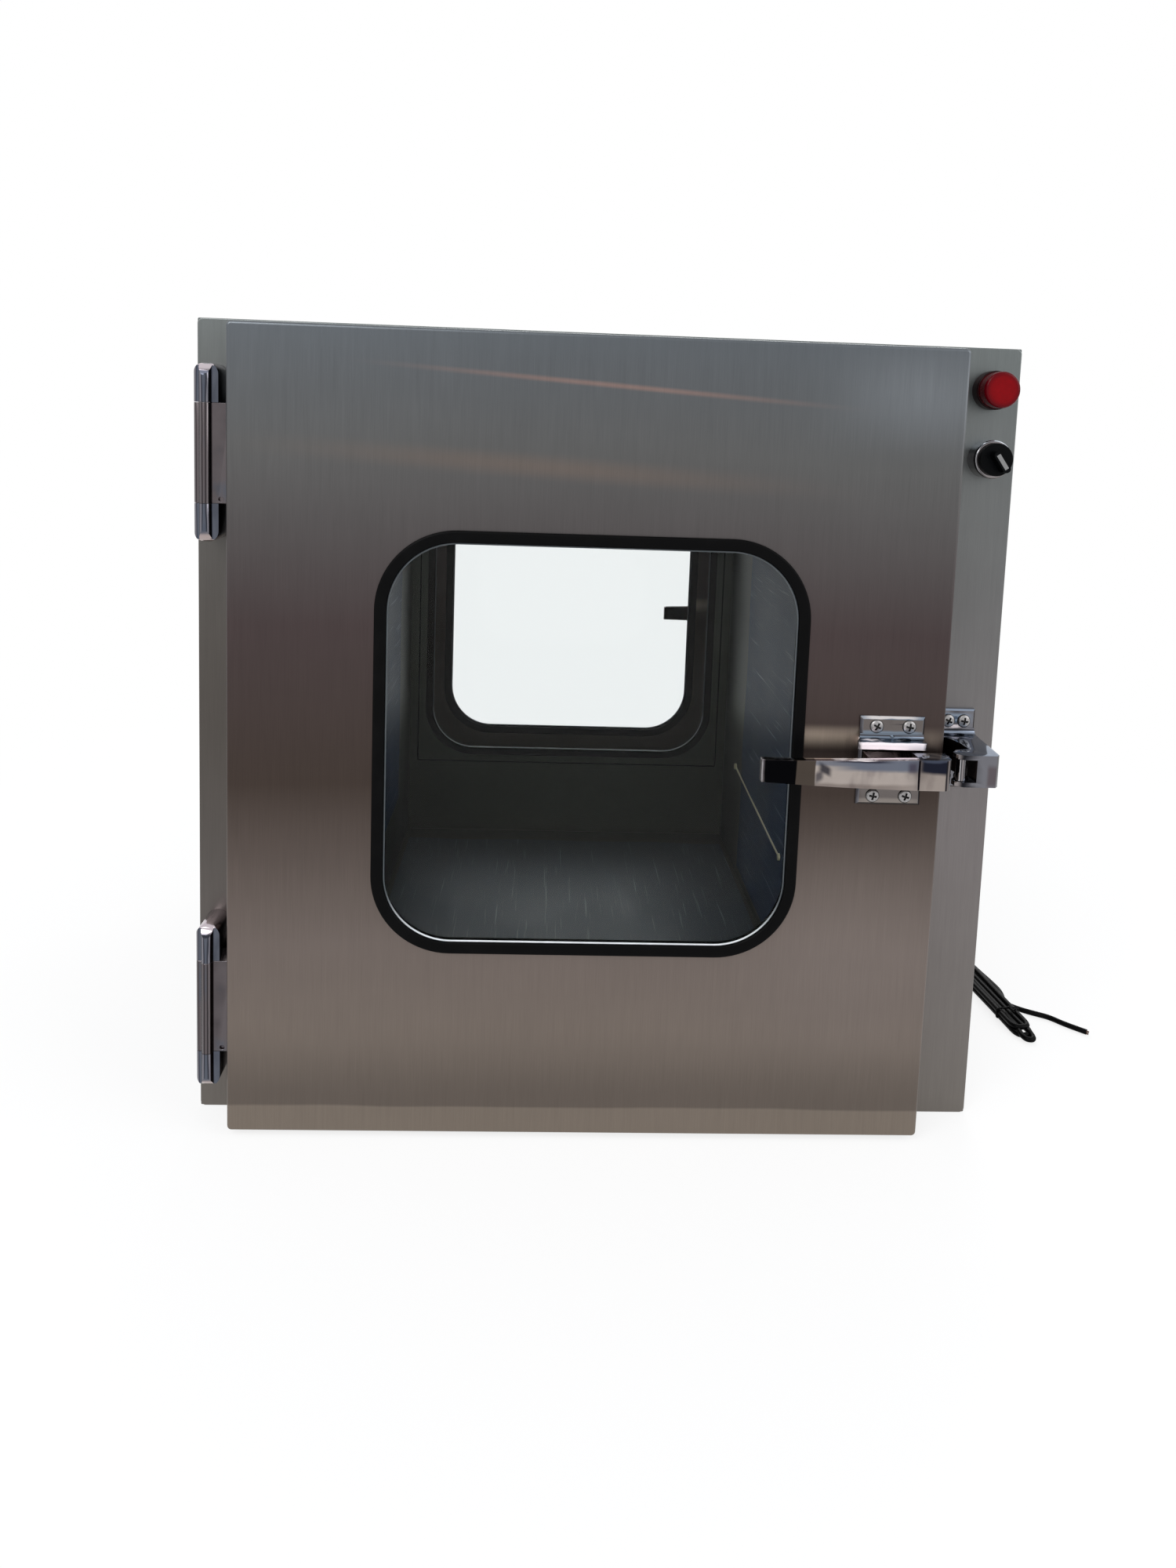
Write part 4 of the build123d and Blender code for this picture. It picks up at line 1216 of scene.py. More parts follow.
@dataclass
class Screws:
    """Cross-recessed pan-head screws, one tree for all of them."""

    steel: bpy.types.Material
    head: float = 0.0052
    height: float = 0.0024
    shank: float = 0.002
    reach: float = 0.006
    arm: float = 0.0029
    arm_width: float = 0.00070
    recess: float = 0.0012
    rim_start: float = 0.72
    rim_spread: float = 0.0784
    around: int = 64
    rings: int = 14

    def pattern(self) -> bpy.types.Object:
        """One screw standing up from z = 0, with the places of its painted shade marked in an attribute."""
        made = bmesh.new()
        shade = made.verts.layers.float.new("shade")
        rings = []
        for ring in range(self.rings + 1):
            share = ring / self.rings
            radius = self.head * share
            crown = 0.80 + 0.20 * math.cos(share * math.pi)
            droop = 0.45 * max(share - self.rim_start, 0) ** 2 / self.rim_spread
            dome = self.height * (crown - droop)
            row = []
            for step in range(1 if ring == 0 else self.around):
                turn = math.tau * step / self.around
                x, y = radius * math.cos(turn), radius * math.sin(turn)
                near, far = sorted((abs(x), abs(y)))
                inside = near < self.arm_width and far < self.arm
                vertex = made.verts.new((x, y, dome - (self.recess if inside else 0.0)))
                vertex[shade] = 1.0 if inside else max(0.0, share - 0.80) * 4.5
                row.append(vertex)
            rings.append(row)
        for radius, height in ((self.head, 0.0), (self.shank, 0.0), (self.shank, -self.reach)):
            row = [
                made.verts.new(
                    (
                        radius * math.cos(math.tau * step / self.around),
                        radius * math.sin(math.tau * step / self.around),
                        height,
                    )
                )
                for step in range(self.around)
            ]
            for vertex in row:
                vertex[shade] = 1.0
            rings.append(row)
        tip = made.verts.new((0, 0, -self.reach))
        tip[shade] = 1.0
        rings.append([tip])
        for low, high in zip(rings, rings[1:]):
            for step in range(self.around):
                after = (step + 1) % self.around
                corners = [
                    low[step % len(low)],
                    low[after % len(low)],
                    high[after % len(high)],
                    high[step % len(high)],
                ]
                unique = list(dict.fromkeys(corners))
                if len(unique) > 2:
                    made.faces.new(unique)
        bmesh.ops.recalc_face_normals(made, faces=made.faces[:])
        mesh = bpy.data.meshes.new("screw_pattern")
        made.to_mesh(mesh)
        made.free()
        pattern = bpy.data.objects.new("screw_pattern", mesh)
        return pattern

    def tree(self) -> Tree:
        """A tree that stands a screw on each point, leant by the point and turned at random."""
        tree = Tree("screw set")
        points = tree.size("Places", None, "NodeSocketGeometry")
        screw = tree.size("Screw", None, "NodeSocketObject")
        seed = tree.size("Turn seed", 3, "NodeSocketInt")
        info = tree.node("GeometryNodeObjectInfo", values={"Object": screw})
        lean = tree.node("GeometryNodeInputNamedAttribute", {"data_type": "FLOAT"}, {"Name": "lean"})
        turned = tree.node("ShaderNodeCombineXYZ", values={"X": lean.outputs[0]})
        stood = tree.node(
            "GeometryNodeInstanceOnPoints",
            values={"Points": points, "Instance": info.outputs["Geometry"], "Rotation": turned.outputs[0]},
        )
        chance = tree.node(
            "FunctionNodeRandomValue", {"data_type": "FLOAT"}, {"Min": 0.0, "Max": math.pi / 2, "Seed": seed}
        )
        roll = tree.node("ShaderNodeCombineXYZ", values={"Z": chance.outputs[1]})
        rolled = tree.node(
            "GeometryNodeRotateInstances",
            values={"Instances": stood.outputs[0], "Rotation": roll.outputs[0], "Local Space": True},
        )
        tree.close(rolled.outputs[0], self.steel)
        return tree

    def places(self, node: str) -> list[tuple[Vector, float]]:
        """Works out where a node's screws sit, from its box.

        Args:
            node: The CAD node.

        Returns:
            Each head's seat and lean.
        """
        low, high = (Vector(corner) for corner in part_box(node))
        xs = (low.x + self.head, high.x - self.head)
        quarter = math.pi / 2
        if node == "cover_screws":
            first, last = low.y + self.head, high.y - self.head
            ys = [first + (last - first) * step / 3 for step in range(4)]
            return [(Vector((x, y, high.z - self.height)), 0.0) for x in xs for y in ys]
        zs = (low.z + self.head, high.z - self.head)
        seats = []
        if not node.startswith("rear"):
            seats += [(Vector((x, low.y + self.height, z)), quarter) for x in xs for z in zs]
        if not node.startswith("front"):
            seats += [(Vector((x, high.y - self.height, z)), -quarter) for x in xs for z in zs]
        return seats

    def build(self) -> None:
        """Stands every screw in its place."""
        pattern, tree = self.pattern(), self.tree()
        bpy.context.scene.collection.objects.link(pattern)
        for node, body in (
            ("cover_screws", "root"),
            ("keeper_screws", "root"),
            ("front_latch_screws", "front_door"),
            ("rear_latch_screws", "rear_door"),
        ):
            seats = self.places(node)
            points = bpy.data.meshes.new(node + "_places")
            points.from_pydata([tuple(place) for place, _ in seats], [], [])
            lean = points.attributes.new("lean", "FLOAT", "POINT")
            for index, (_, angle) in enumerate(seats):
                lean.data[index].value = angle
            piece = tree.grow(node + "_set", {"Screw": pattern, "Turn seed": 3}, 0.7, base=points)
            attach(piece, body)
            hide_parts(node)
            LOG.info("%s: %d screws", piece.name, len(seats))
        bpy.data.objects.remove(pattern)


@dataclass
class Hardware:
    """The chromed castings, with their edges eased so that they catch the light."""

    chrome: dict[str, bpy.types.Material]
    nodes: dict[str, bpy.types.Object]
    steps: int = 3

    def eased(self, node: str, body: str, width: float) -> bpy.types.Object:
        """Copies a casting, joins its faces and rounds its edges.

        Args:
            node: The CAD node.
            body: The body that it moves with.
            width: How much of each edge is rounded, in metres.

        Returns:
            The new piece.
        """
        made = bmesh.new()
        made.from_mesh(self.nodes[node].data)
        bmesh.ops.remove_doubles(made, verts=made.verts[:], dist=0.000002)
        bmesh.ops.dissolve_limit(
            made, angle_limit=math.radians(1.0), verts=made.verts[:], edges=made.edges[:]
        )
        mesh = bpy.data.meshes.new(node + "_eased")
        made.to_mesh(mesh)
        made.free()
        piece = bpy.data.objects.new(node + "_eased", mesh)
        bpy.context.scene.collection.objects.link(piece)
        bevel = piece.modifiers.new("ease", "BEVEL")
        bevel.width = width
        bevel.segments = self.steps
        bevel.limit_method = "ANGLE"
        bevel.angle_limit = math.radians(32)
        bevel.use_clamp_overlap = True
        bevel.miter_outer = "MITER_ARC"
        view = bpy.context.evaluated_depsgraph_get()
        rounded = bpy.data.meshes.new_from_object(piece.evaluated_get(view))
        bpy.data.objects.remove(piece)
        rounded.name = node + "_eased"
        piece = finish_mesh(node + "_eased", rounded, 0.55)
        dress(piece, self.chrome[node.split("_", 1)[1]])
        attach(piece, body)
        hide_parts(node)
        LOG.info("%s: %d faces", piece.name, len(rounded.polygons))
        return piece

    def rivet(self, side: str) -> bpy.types.Object:
        """The small rivet between the latch plate's screws."""
        low, high = (Vector(corner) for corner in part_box(f"{side}_latch_base"))
        outward = -1.0 if side == "front" else 1.0
        plate = (high.y if side == "front" else low.y) + outward * 0.0034
        middle = Vector((low.x + (high.x - low.x) * 0.53, plate, low.z + (high.z - low.z) * 0.775))
        profile = [(0.0, 0.0), (0.0019, 0.0), (0.0019, 0.0006), (0.0013, 0.0013), (0.0, 0.0016)]
        piece = joined(f"{side}_latch_rivet", [lathe(profile, Vector((0, outward, 0)), middle, 24)])
        dress(piece, self.chrome["latch_base"])
        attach(piece, f"{side}_door")
        return piece

    def build(self) -> None:
        """Eases every casting on both faces."""
        for side in ("front", "rear"):
            for name, body, width in (
                ("hinge_leaves", f"{side}_door", 0.0006),
                ("hinge_frame_halves", "root", 0.0006),
                ("latch_base", f"{side}_door", 0.0006),
                ("latch_handle", f"{side}_latch", 0.0016),
                ("latch_head", f"{side}_latch", 0.0008),
                ("keeper", "root", 0.0008),
            ):
                self.eased(f"{side}_{name}", body, width)
            self.rivet(side)


@dataclass
class ChamberFilm:
    """Protective film still on the chamber's floor and side walls."""

    floor_film: bpy.types.Material
    wall_film: bpy.types.Material
    thickness: float = 0.00025
    ripple: float = 0.0007

    def sheet(
        self, name: str, corner: Vector, along: Vector, across: Vector, lift: Vector, seed: float
    ) -> bpy.types.Object:
        """One thin rippled sheet with slightly uneven edges.

        Args:
            name: The piece's name.
            corner: One corner, on the metal.
            along: The first side.
            across: The second side.
            lift: The unit direction away from the metal.
            seed: Shifts the ripples.

        Returns:
            The sheet.
        """
        made = bmesh.new()
        rows, columns = 60, 48
        grid = []
        for row in range(rows + 1):
            line = []
            for column in range(columns + 1):
                u, v = row / rows, column / columns
                wave = math.sin(9 * u + seed) * math.sin(6 * v + 2 * seed)
                wave += 0.6 * math.sin(23 * v + 11 * u * seed)
                edge = 0.0015 * math.sin(17 * v + seed) if row in (0, rows) else 0.0
                rise = self.thickness + self.ripple * 0.5 * (1 + wave / 1.6)
                place = corner + along * u + across * v + lift * rise + along.normalized() * edge
                line.append(made.verts.new(place))
            grid.append(line)
        for near, far in zip(grid, grid[1:]):
            for column in range(columns):
                made.faces.new([near[column], far[column], far[column + 1], near[column + 1]])
        flat = bmesh.ops.extrude_face_region(made, geom=made.faces[:])
        base = [item for item in flat["geom"] if isinstance(item, bmesh.types.BMVert)]
        for vertex in base:
            height = (vertex.co - corner).dot(lift)
            vertex.co -= lift * (height - 0.00005)
        return joined(name, [made], 0.8)

    def build(self) -> None:
        """Lays the floor film and hangs the wall films."""
        left = Vector(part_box("chamber_left_wall")[1]).x
        right = Vector(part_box("chamber_right_wall")[0]).x
        floor = Vector(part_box("chamber_floor")[1]).z
        margin = 0.006
        films = (
            (
                "floor_film",
                Vector((left + margin, -0.266, floor)),
                Vector((0, 0.500, 0)),
                Vector((right - left - 2 * margin, 0, 0)),
                Vector((0, 0, 1)),
                self.floor_film,
            ),
            (
                "right_wall_film",
                Vector((right, -0.266, floor + 0.010)),
                Vector((0, 0.405, 0)),
                Vector((0, 0, 0.470)),
                Vector((-1, 0, 0)),
                self.wall_film,
            ),
            (
                "left_wall_film",
                Vector((left, -0.266, floor + 0.075)),
                Vector((0, 0.430, 0)),
                Vector((0, 0, 0.400)),
                Vector((1, 0, 0)),
                self.wall_film,
            ),
        )
        for index, (name, corner, along, across, lift, film) in enumerate(films):
            piece = self.sheet(name, corner, along, across, lift, 1.3 + index)
            dress(piece, film)
            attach(piece, "root")
            LOG.info("%s", name)


@dataclass
class UltravioletTube:
    """The lamp under the ceiling: a clear tube with metal caps, pins and a coiled filament at each end."""

    glass: bpy.types.Material
    metal: bpy.types.Material
    cap: float = 0.020
    wall: float = 0.0010
    coil: float = 0.0022

    def build(self) -> None:
        """Makes the tube and its metal parts."""
        low, high = (Vector(corner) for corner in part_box("ultraviolet_tube"))
        middle = (low + high) / 2
        radius = (high.x - low.x) / 2
        length = high.y - low.y
        along = Vector((0, 1, 0))
        start = Vector((middle.x, low.y, middle.z))
        bore = radius - self.wall - 0.0004
        outer = radius - 0.0004
        tube = joined(
            "lamp_tube",
            [
                lathe(
                    [
                        (bore, self.cap * 0.4),
                        (outer, self.cap * 0.4),
                        (outer, length - self.cap * 0.4),
                        (bore, length - self.cap * 0.4),
                        (bore, self.cap * 0.4),
                    ],
                    along,
                    start,
                )
            ],
        )
        dress(tube, self.glass)
        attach(tube, "root")
        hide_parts("ultraviolet_tube")
        metal = []
        for end, sign in ((start, 1.0), (start + along * length, -1.0)):
            axis = along * sign
            metal.append(
                lathe(
                    [(0, 0.0), (radius - 0.001, 0.0), (radius, 0.001), (radius, self.cap), (0, self.cap)],
                    axis,
                    end,
                )
            )
            helix = [
                end
                + axis * (self.cap + 0.012)
                + Vector(
                    (
                        -0.008 + 0.016 * step / 90,
                        self.coil * 0.5 * math.cos(step * 0.7),
                        self.coil * 0.5 * math.sin(step * 0.7),
                    )
                )
                for step in range(91)
            ]
            metal.append(swept(helix, 0.00022, 6))
            for side in (-0.008, 0.008):
                foot = end + axis * self.cap + Vector((side, 0, 0))
                metal.append(swept([foot, foot + axis * 0.006, foot + axis * 0.012], 0.0005, 8))
        caps = joined("lamp_tube_ends", metal)
        dress(caps, self.metal)
        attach(caps, "root")
        LOG.info("ultraviolet tube")


# ---- Studio ----


@dataclass
class Studio:
    """Camera, floor, world and lamps."""

    eye: Point = (-0.0502, -1.1268, 0.5512)
    yaw: float = 0.042857
    pitch: float = 0.1134
    roll: float = 0.035325
    focal_px: float = 1438.0
    centre_px: tuple[float, float] = (753.4, 706.08)
    frame_px: tuple[int, int] = (1500, 2000)
    sensor: float = 36.0
    white_share: float = 0.80

    def camera(self) -> None:
        """Stands the camera where it looks at the front door from slightly above."""
        data = bpy.data.cameras.new("view")
        data.sensor_fit = "AUTO"
        data.sensor_width = self.sensor
        longest = max(self.frame_px)
        data.lens = self.focal_px * self.sensor / longest
        data.shift_x = (self.frame_px[0] / 2 - self.centre_px[0]) / longest
        data.shift_y = (self.centre_px[1] - self.frame_px[1] / 2) / longest
        data.clip_start = 0.01
        forward = Vector(
            (
                math.sin(self.yaw) * math.cos(self.pitch),
                math.cos(self.yaw) * math.cos(self.pitch),
                -math.sin(self.pitch),
            )
        )
        right = Vector((math.cos(self.yaw), -math.sin(self.yaw), 0.0))
        above = right.cross(forward)
        tilted = right * math.cos(self.roll) + above * math.sin(self.roll)
        upright = above * math.cos(self.roll) - right * math.sin(self.roll)
        turn = Matrix((tilted, upright, -forward)).transposed().to_4x4()
        view = bpy.data.objects.new("view", data)
        view.matrix_world = Matrix.Translation(self.eye) @ turn
        bpy.context.scene.collection.objects.link(view)
        bpy.context.scene.camera = view

    def world(self) -> None:
        """A plain pale surround that metal and glass also see."""
        surround = bpy.data.worlds.new("surround")
        bpy.context.scene.world = surround
        surround.use_nodes = True
        tree = surround.node_tree
        tree.nodes.clear()
        seen = tree.nodes.new("ShaderNodeBackground")
        seen.inputs["Color"].default_value = (1.0, 1.0, 1.0, 1.0)
        light = tree.nodes.new("ShaderNodeBackground")
        light.inputs["Color"].default_value = (0.80, 0.82, 0.85, 1.0)
        light.inputs["Strength"].default_value = 0.75
        path = tree.nodes.new("ShaderNodeLightPath")
        either = tree.nodes.new("ShaderNodeMath")
        either.operation = "MAXIMUM"
        glassy = tree.nodes.new("ShaderNodeMath")
        glassy.operation = "MAXIMUM"
        blend = tree.nodes.new("ShaderNodeMixShader")
        out = tree.nodes.new("ShaderNodeOutputWorld")
        tree.links.new(path.outputs["Is Camera Ray"], either.inputs[0])
        tree.links.new(path.outputs["Is Glossy Ray"], either.inputs[1])
        tree.links.new(either.outputs[0], glassy.inputs[0])
        tree.links.new(path.outputs["Is Transmission Ray"], glassy.inputs[1])
        tree.links.new(glassy.outputs[0], blend.inputs[0])
        tree.links.new(light.outputs[0], blend.inputs[1])
        tree.links.new(seen.outputs[0], blend.inputs[2])
        tree.links.new(blend.outputs[0], out.inputs["Surface"])

    def lamp(self, name: str, place: Point, aim: Point, size: float, watts: float) -> None:
        """Adds one soft square lamp.

        Args:
            name: The lamp's name.
            place: Where it stands, in metres.
            aim: The point that it faces.
            size: Its side in metres.
            watts: Its power.
        """
        data = bpy.data.lights.new(name, "AREA")
        data.shape = "SQUARE"
        data.size = size
        data.energy = watts
        lamp = bpy.data.objects.new(name, data)
        away = Vector(place) - Vector(aim)
        lamp.matrix_world = Matrix.Translation(place) @ away.to_track_quat("Z", "Y").to_matrix().to_4x4()
        bpy.context.scene.collection.objects.link(lamp)

    def floor(self) -> None:
        """A plain pale floor, seen as white and still taking the shadow."""
        mesh = bpy.data.meshes.new("floor")
        reach = 6.0
        mesh.from_pydata(
            [(-reach, -reach, 0), (reach, -reach, 0), (reach, reach, 0), (-reach, reach, 0)],
            [],
            [(0, 1, 2, 3)],
        )
        plane = finish_mesh("floor", mesh, None)
        recipe = Recipe("pale floor")
        mottle = recipe.noise(recipe.place(), 3.0, 2.0)
        recipe.set(Base_Color=recipe.tinted((0.98, 0.98, 0.98), 0.995 + mottle * 0.01), Roughness=0.9)
        path = recipe.tree.nodes.new("ShaderNodeLightPath")
        rays = [Term(recipe, path.outputs[f"Is {kind} Ray"]) for kind in ("Camera", "Glossy", "Transmission")]
        white = recipe.node("ShaderNodeEmission", values={"Color": (1.0, 1.0, 1.0), "Strength": 1.0})
        x, y, _ = recipe.parts(recipe.place())
        far = ((x * x + y * y) ** 0.5).above(0.45, 1.3)
        shown = recipe.node(
            "ShaderNodeMixShader",
            values={
                0: (rays[0] + rays[1] + rays[2]) * (far * (1 - self.white_share) + self.white_share),
                2: white,
            },
        )
        recipe.feed(shown.socket.node.inputs[1], Term(recipe, recipe.surface.outputs[0]))
        recipe.feed(recipe.output.inputs["Surface"], shown)
        dress(plane, recipe.material)

    def build(self) -> None:
        """Sets up everything that isn't the object."""
        scene = bpy.context.scene
        scene.view_settings.view_transform = "Standard"
        self.camera()
        self.world()
        self.lamp("key", (-1.6, -2.2, 2.4), (0, 0, 0.3), 2.0, 60.0)
        self.lamp("fill", (2.2, -1.4, 1.6), (0, 0, 0.3), 2.0, 25.0)
        self.lamp("back", (0.5, 2.4, 2.2), (0, 0, 0.3), 2.0, 35.0)
        self.floor()


# Door sheet: the height bands and the patches are painted reflections and painted shade.
DOOR_SHEET = BrushedSheet(
    "door sheet",
    (
        (0.0, srgb(120, 110, 100)),
        (0.25, srgb(110, 100, 95)),
        (0.45, srgb(65, 55, 50)),
        (0.65, srgb(70, 60, 60)),
        (0.85, srgb(90, 90, 90)),
        (1.0, srgb(90, 95, 100)),
    ),
    fold=0.0265,
    painted_reflections=(
        Glint(srgb(175, 160, 145), 0.150, 0.325, 0.15, 0.011, 0.85),
        Glint(srgb(45, 35, 30), 0.150, 0.300, 0.15, 0.014, 0.75),
        Glint(srgb(115, 100, 90), -0.05, 0.520, 0.25, 0.012, 0.45, 0.05),
        Glint(srgb(150, 120, 110), 0.0, 0.580, 0.20, 0.003, 0.55, 0.06),
        Glint(srgb(120, 110, 105), 0.200, 0.150, 0.15, 0.12, 0.7),
        Glint(srgb(120, 125, 130), 0.225, 0.580, 0.10, 0.05, 0.5),
    ),
)

# Face sheet: the bands and the dark patch on the left strip are painted reflection and painted shade.
FACE_SHEET = BrushedSheet(
    "face sheet",
    (
        (0.0, srgb(110, 105, 100)),
        (0.4, srgb(120, 115, 115)),
        (0.7, srgb(105, 105, 105)),
        (1.0, srgb(105, 110, 110)),
    ),
    painted_reflections=(Glint(srgb(80, 75, 70), -0.300, 0.310, 0.11, 0.40, 0.9),),
)

# Back pan: paler at the bottom and darker towards the top, painted shade inside the chamber.
PAN_SHEET = BrushedSheet(
    "back pan sheet",
    (
        (0.0, srgb(104, 106, 98)),
        (0.30, srgb(92, 96, 86)),
        (0.55, srgb(74, 78, 71)),
        (1.0, srgb(62, 66, 65)),
    ),
    contrast=0.12,
)

# Hinge chrome: its tones are painted reflections.
HINGE_CHROME = Bright(
    "hinge chrome",
    front=srgb(98, 92, 94),
    sky=srgb(206, 200, 206),
    floor=srgb(120, 110, 106),
    flank=srgb(52, 48, 50),
    streak=srgb(112, 106, 108),
    reflection_blot=srgb(84, 90, 100),
    reflection_blot_share=0.7,
    roughness=0.22,
)

# Hinge caps: painted reflections, with a painted highlight on the domes.
CAP_CHROME = Bright(
    "hinge cap chrome",
    front=srgb(90, 94, 104),
    sky=srgb(196, 186, 192),
    floor=srgb(168, 154, 152),
    flank=srgb(52, 54, 62),
    streak=srgb(128, 126, 134),
    reflection_blot=srgb(74, 80, 96),
    reflection_blot_share=0.6,
    roughness=0.12,
)

# Painted reflection tones of the handle: black at its end, blue-grey along the top, beige in front.
BLACK_REFLECTION = srgb(8, 8, 10)
BLUE_GREY_REFLECTION = srgb(98, 104, 118)
BEIGE_REFLECTION = srgb(168, 158, 152)

# Handle chrome: painted reflections, a painted white highlight along the top edge and a painted black
# reflection at the left end.
HANDLE_CHROME = Bright(
    "handle chrome",
    front=BEIGE_REFLECTION,
    sky=srgb(228, 216, 220),
    flank=srgb(70, 66, 70),
    reflection_blot=srgb(132, 122, 120),
    reflection_blot_share=0.8,
    ragged=0.003,
    painted_reflections=(
        Glint(BLUE_GREY_REFLECTION, 0.215, 0.3165, 0.060, 0.0070, 0.95, core=0.5),
        Glint(BLUE_GREY_REFLECTION, 0.165, 0.3175, 0.030, 0.0045, 0.8, core=0.4),
        Glint(srgb(44, 42, 56), 0.184, 0.3190, 0.026, 0.0026, 0.9, core=0.4),
        Glint(srgb(98, 86, 82), 0.170, 0.2985, 0.080, 0.0042, 0.6, core=0.3),
        Glint(srgb(38, 38, 48), 0.1570, 0.3115, 0.0060, 0.0050, 0.9, 0.5, core=0.3),
        Glint(srgb(60, 58, 66), 0.1530, 0.3060, 0.0045, 0.0060, 0.8, -0.6, core=0.2),
        Glint(srgb(64, 58, 74), 0.2210, 0.3140, 0.0050, 0.0060, 0.8, core=0.2),
    ),
    final_painted_reflections=(
        Glint(srgb(16, 14, 18), 0.2262, 0.3085, 0.0011, 0.0130, 1.0, core=0.8),
        Glint(srgb(74, 66, 60), 0.1420, 0.3085, 0.0085, 0.0100, 1.0, core=0.9),
        Glint(BLACK_REFLECTION, 0.1255, 0.3083, 0.0118, 0.0094, 1.0, core=0.92),
        Glint(srgb(232, 222, 222), 0.1530, 0.3195, 0.0440, 0.0013, 1.0, core=0.7, lit=0.85),
        Glint(srgb(150, 146, 148), 0.1124, 0.3085, 0.0010, 0.0110, 0.8, core=0.5, lit=0.5),
    ),
)

# Latch head: painted reflections, dark over the upper half and beige below.
HEAD_CHROME = Bright(
    "latch head chrome",
    front=srgb(150, 140, 134),
    sky=srgb(104, 114, 132),
    flank=srgb(30, 30, 34),
    streak=srgb(118, 110, 108),
    reflection_blot=srgb(122, 112, 108),
    reflection_blot_share=0.6,
    ragged=0.007,
    painted_reflections=(
        Glint(srgb(30, 32, 44), 0.2400, 0.3160, 0.0170, 0.0078, 1.0, 0.08, core=0.55),
        Glint(srgb(70, 76, 92), 0.2400, 0.3195, 0.0170, 0.0022, 0.8, core=0.4),
    ),
)

# Latch plate: painted reflections, with painted white highlights on the lip.
BASE_CHROME = Bright(
    "latch plate chrome",
    front=srgb(104, 98, 96),
    sky=srgb(120, 132, 148),
    flank=srgb(62, 60, 64),
    streak=srgb(128, 128, 134),
    reflection_blot=srgb(72, 66, 64),
    reflection_blot_share=0.5,
    painted_reflections=(
        Glint(srgb(116, 128, 142), 0.2130, 0.3285, 0.034, 0.0040, 0.95, core=0.5),
        Glint(srgb(150, 142, 136), 0.2140, 0.2760, 0.034, 0.0050, 0.6, core=0.4),
    ),
    final_painted_reflections=(
        Glint(srgb(250, 240, 244), 0.2125, 0.3231, 0.0262, 0.0030, 1.0, core=0.85, lit=0.9),
        Glint(srgb(206, 200, 198), 0.2140, 0.3418, 0.0262, 0.0014, 0.9, core=0.5, lit=0.6),
    ),
)

# Keeper: painted reflections and a painted white highlight.
KEEPER_CHROME = Bright(
    "keeper chrome",
    front=srgb(112, 112, 118),
    sky=srgb(132, 142, 158),
    flank=srgb(34, 34, 38),
    streak=srgb(134, 128, 128),
    reflection_blot=srgb(60, 58, 62),
    reflection_blot_share=0.7,
    ragged=0.003,
    painted_reflections=(
        Glint(srgb(128, 140, 156), 0.2740, 0.3330, 0.020, 0.0050, 0.9, core=0.4),
        Glint(srgb(92, 84, 88), 0.2860, 0.3050, 0.0070, 0.0100, 0.9, core=0.5),
    ),
    final_painted_reflections=(Glint(srgb(240, 228, 230), 0.2720, 0.3262, 0.0120, 0.0016, 0.9, core=0.6, lit=0.8),),
)

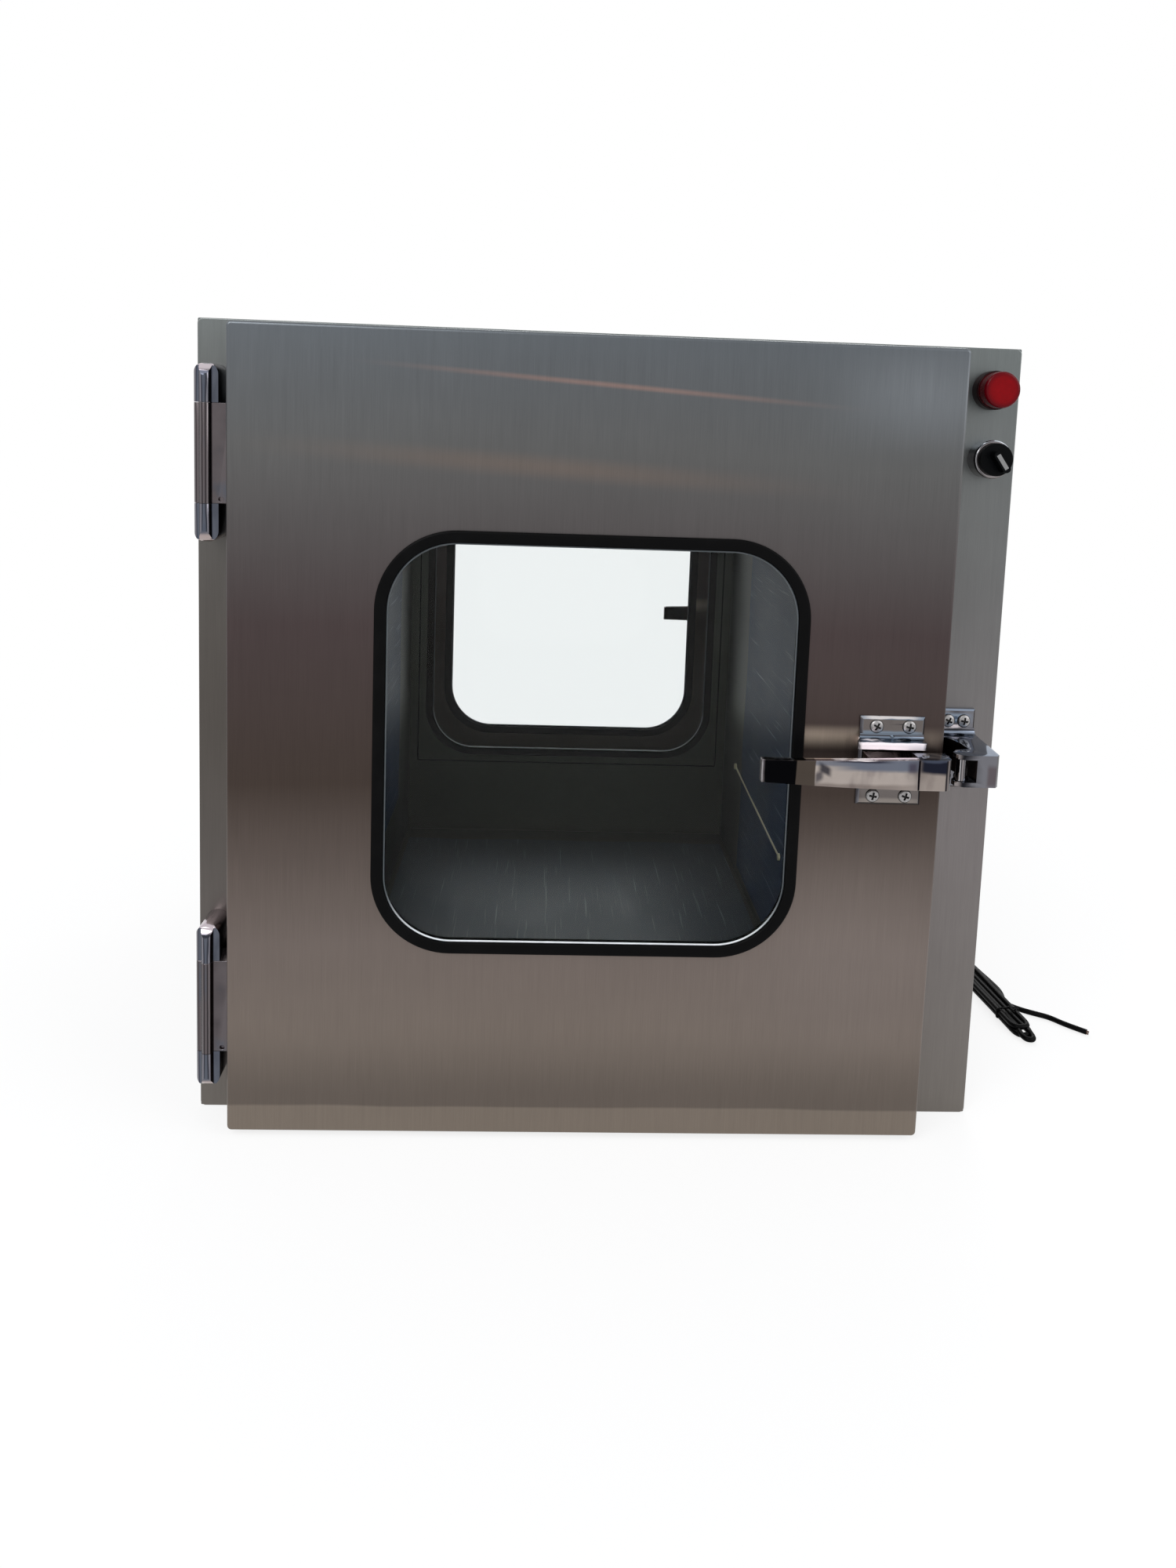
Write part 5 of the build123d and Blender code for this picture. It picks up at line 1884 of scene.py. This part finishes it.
FINISHES: dict[str, Any] = {
    "brushed_stainless": DOOR_SHEET,
    # Chamber walls: dark bands of painted shade inside the chamber.
    "chamber_stainless": BrushedSheet(
        "chamber stainless",
        ((0.0, srgb(62, 64, 60)), (0.25, srgb(78, 81, 73)), (0.5, srgb(48, 51, 49)), (1.0, srgb(36, 39, 39))),
        metallic=0.7,
        roughness=0.42,
        contrast=0.10,
    ),
    "steel_screw": ScrewSteel("screw steel"),
    # Other chrome: the default painted reflections by facing.
    "chromed_metal": Bright("chromed metal"),
    "window_glass": Pane("window glass"),
    "lamp_glass": Pane("lamp glass", (0.95, 0.97, 1.0)),
    "black_rubber": Moulded("black rubber", (0.0016, 0.0016, 0.0018), 0.42, dust=0.003, specular=0.05),
    "seal_rubber": Moulded("seal rubber", srgb(28, 28, 29), 0.6, dust=0.02, specular=0.2),
    "white_plastic": Moulded("white plastic", srgb(225, 225, 220), 0.4),
    "lamp_ballast_metal": Moulded("ballast paint", srgb(215, 215, 210), 0.35),
    "wire_plastic": Moulded("wire sheath", srgb(205, 200, 165), 0.35),
    "dark_bezel": Moulded("lamp bezel", srgb(30, 6, 8), 0.30, dust=0.004, specular=0.10),
    "red_lens": LensRed("red lens", srgb(120, 0, 8), srgb(84, 0, 10), (0.288, 0.588)),
    "black_plastic": Moulded("black plastic", (0.0015, 0.0018, 0.0022), 0.32, dust=0.003, specular=0.045),
    "pointer_plastic": Moulded("pointer plastic", srgb(112, 112, 112), 0.5),
    "cord_sheath": Moulded("cord sheath", (0.0012, 0.0012, 0.0014), 0.36, dust=0.002, specular=0.06),
}


def main() -> None:
    """Builds the scene in order."""
    logging.basicConfig(level=logging.INFO, format="%(message)s")
    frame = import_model()
    Studio().build()
    slots = {row["node"]: row["material_slot"] for row in frame["record"]["subparts"]}
    finish = {name: recipe.build() for name, recipe in FINISHES.items()}
    face, pan = FACE_SHEET.build(), PAN_SHEET.build()
    for node, piece in frame["nodes"].items():
        flat_sheet = slots[node] == "brushed_stainless" and "door" not in node
        dress(piece, pan if "back_pan" in node else face if flat_sheet else finish[slots[node]])
    MainsLead(finish["cord_sheath"], Moulded("bare wires", srgb(90, 62, 48), 0.4).build()).build()
    GlazingRubber(
        finish["black_rubber"],
        PaneEdgeHighlight("pane edge", srgb(224, 228, 232), srgb(70, 76, 80), 0.158, 0.200).build(),
    ).build()
    Screws(finish["steel_screw"]).build()
    Hardware(
        {
            "hinge_leaves": HINGE_CHROME.build(),
            "hinge_frame_halves": CAP_CHROME.build(),
            "latch_base": BASE_CHROME.build(),
            "latch_handle": HANDLE_CHROME.build(),
            "latch_head": HEAD_CHROME.build(),
            "keeper": KEEPER_CHROME.build(),
        },
        frame["nodes"],
    ).build()
    ChamberFilm(
        # The films' dark blue-grey is partly their own tint and partly painted shade inside the chamber.
        Film("floor film", srgb(74, 82, 88), srgb(150, 155, 160)).build(),
        Film("wall film", srgb(52, 68, 90), srgb(160, 170, 180)).build(),
    ).build()
    UltravioletTube(finish["lamp_glass"], finish["steel_screw"]).build()


if __name__ == "__main__":
    main()
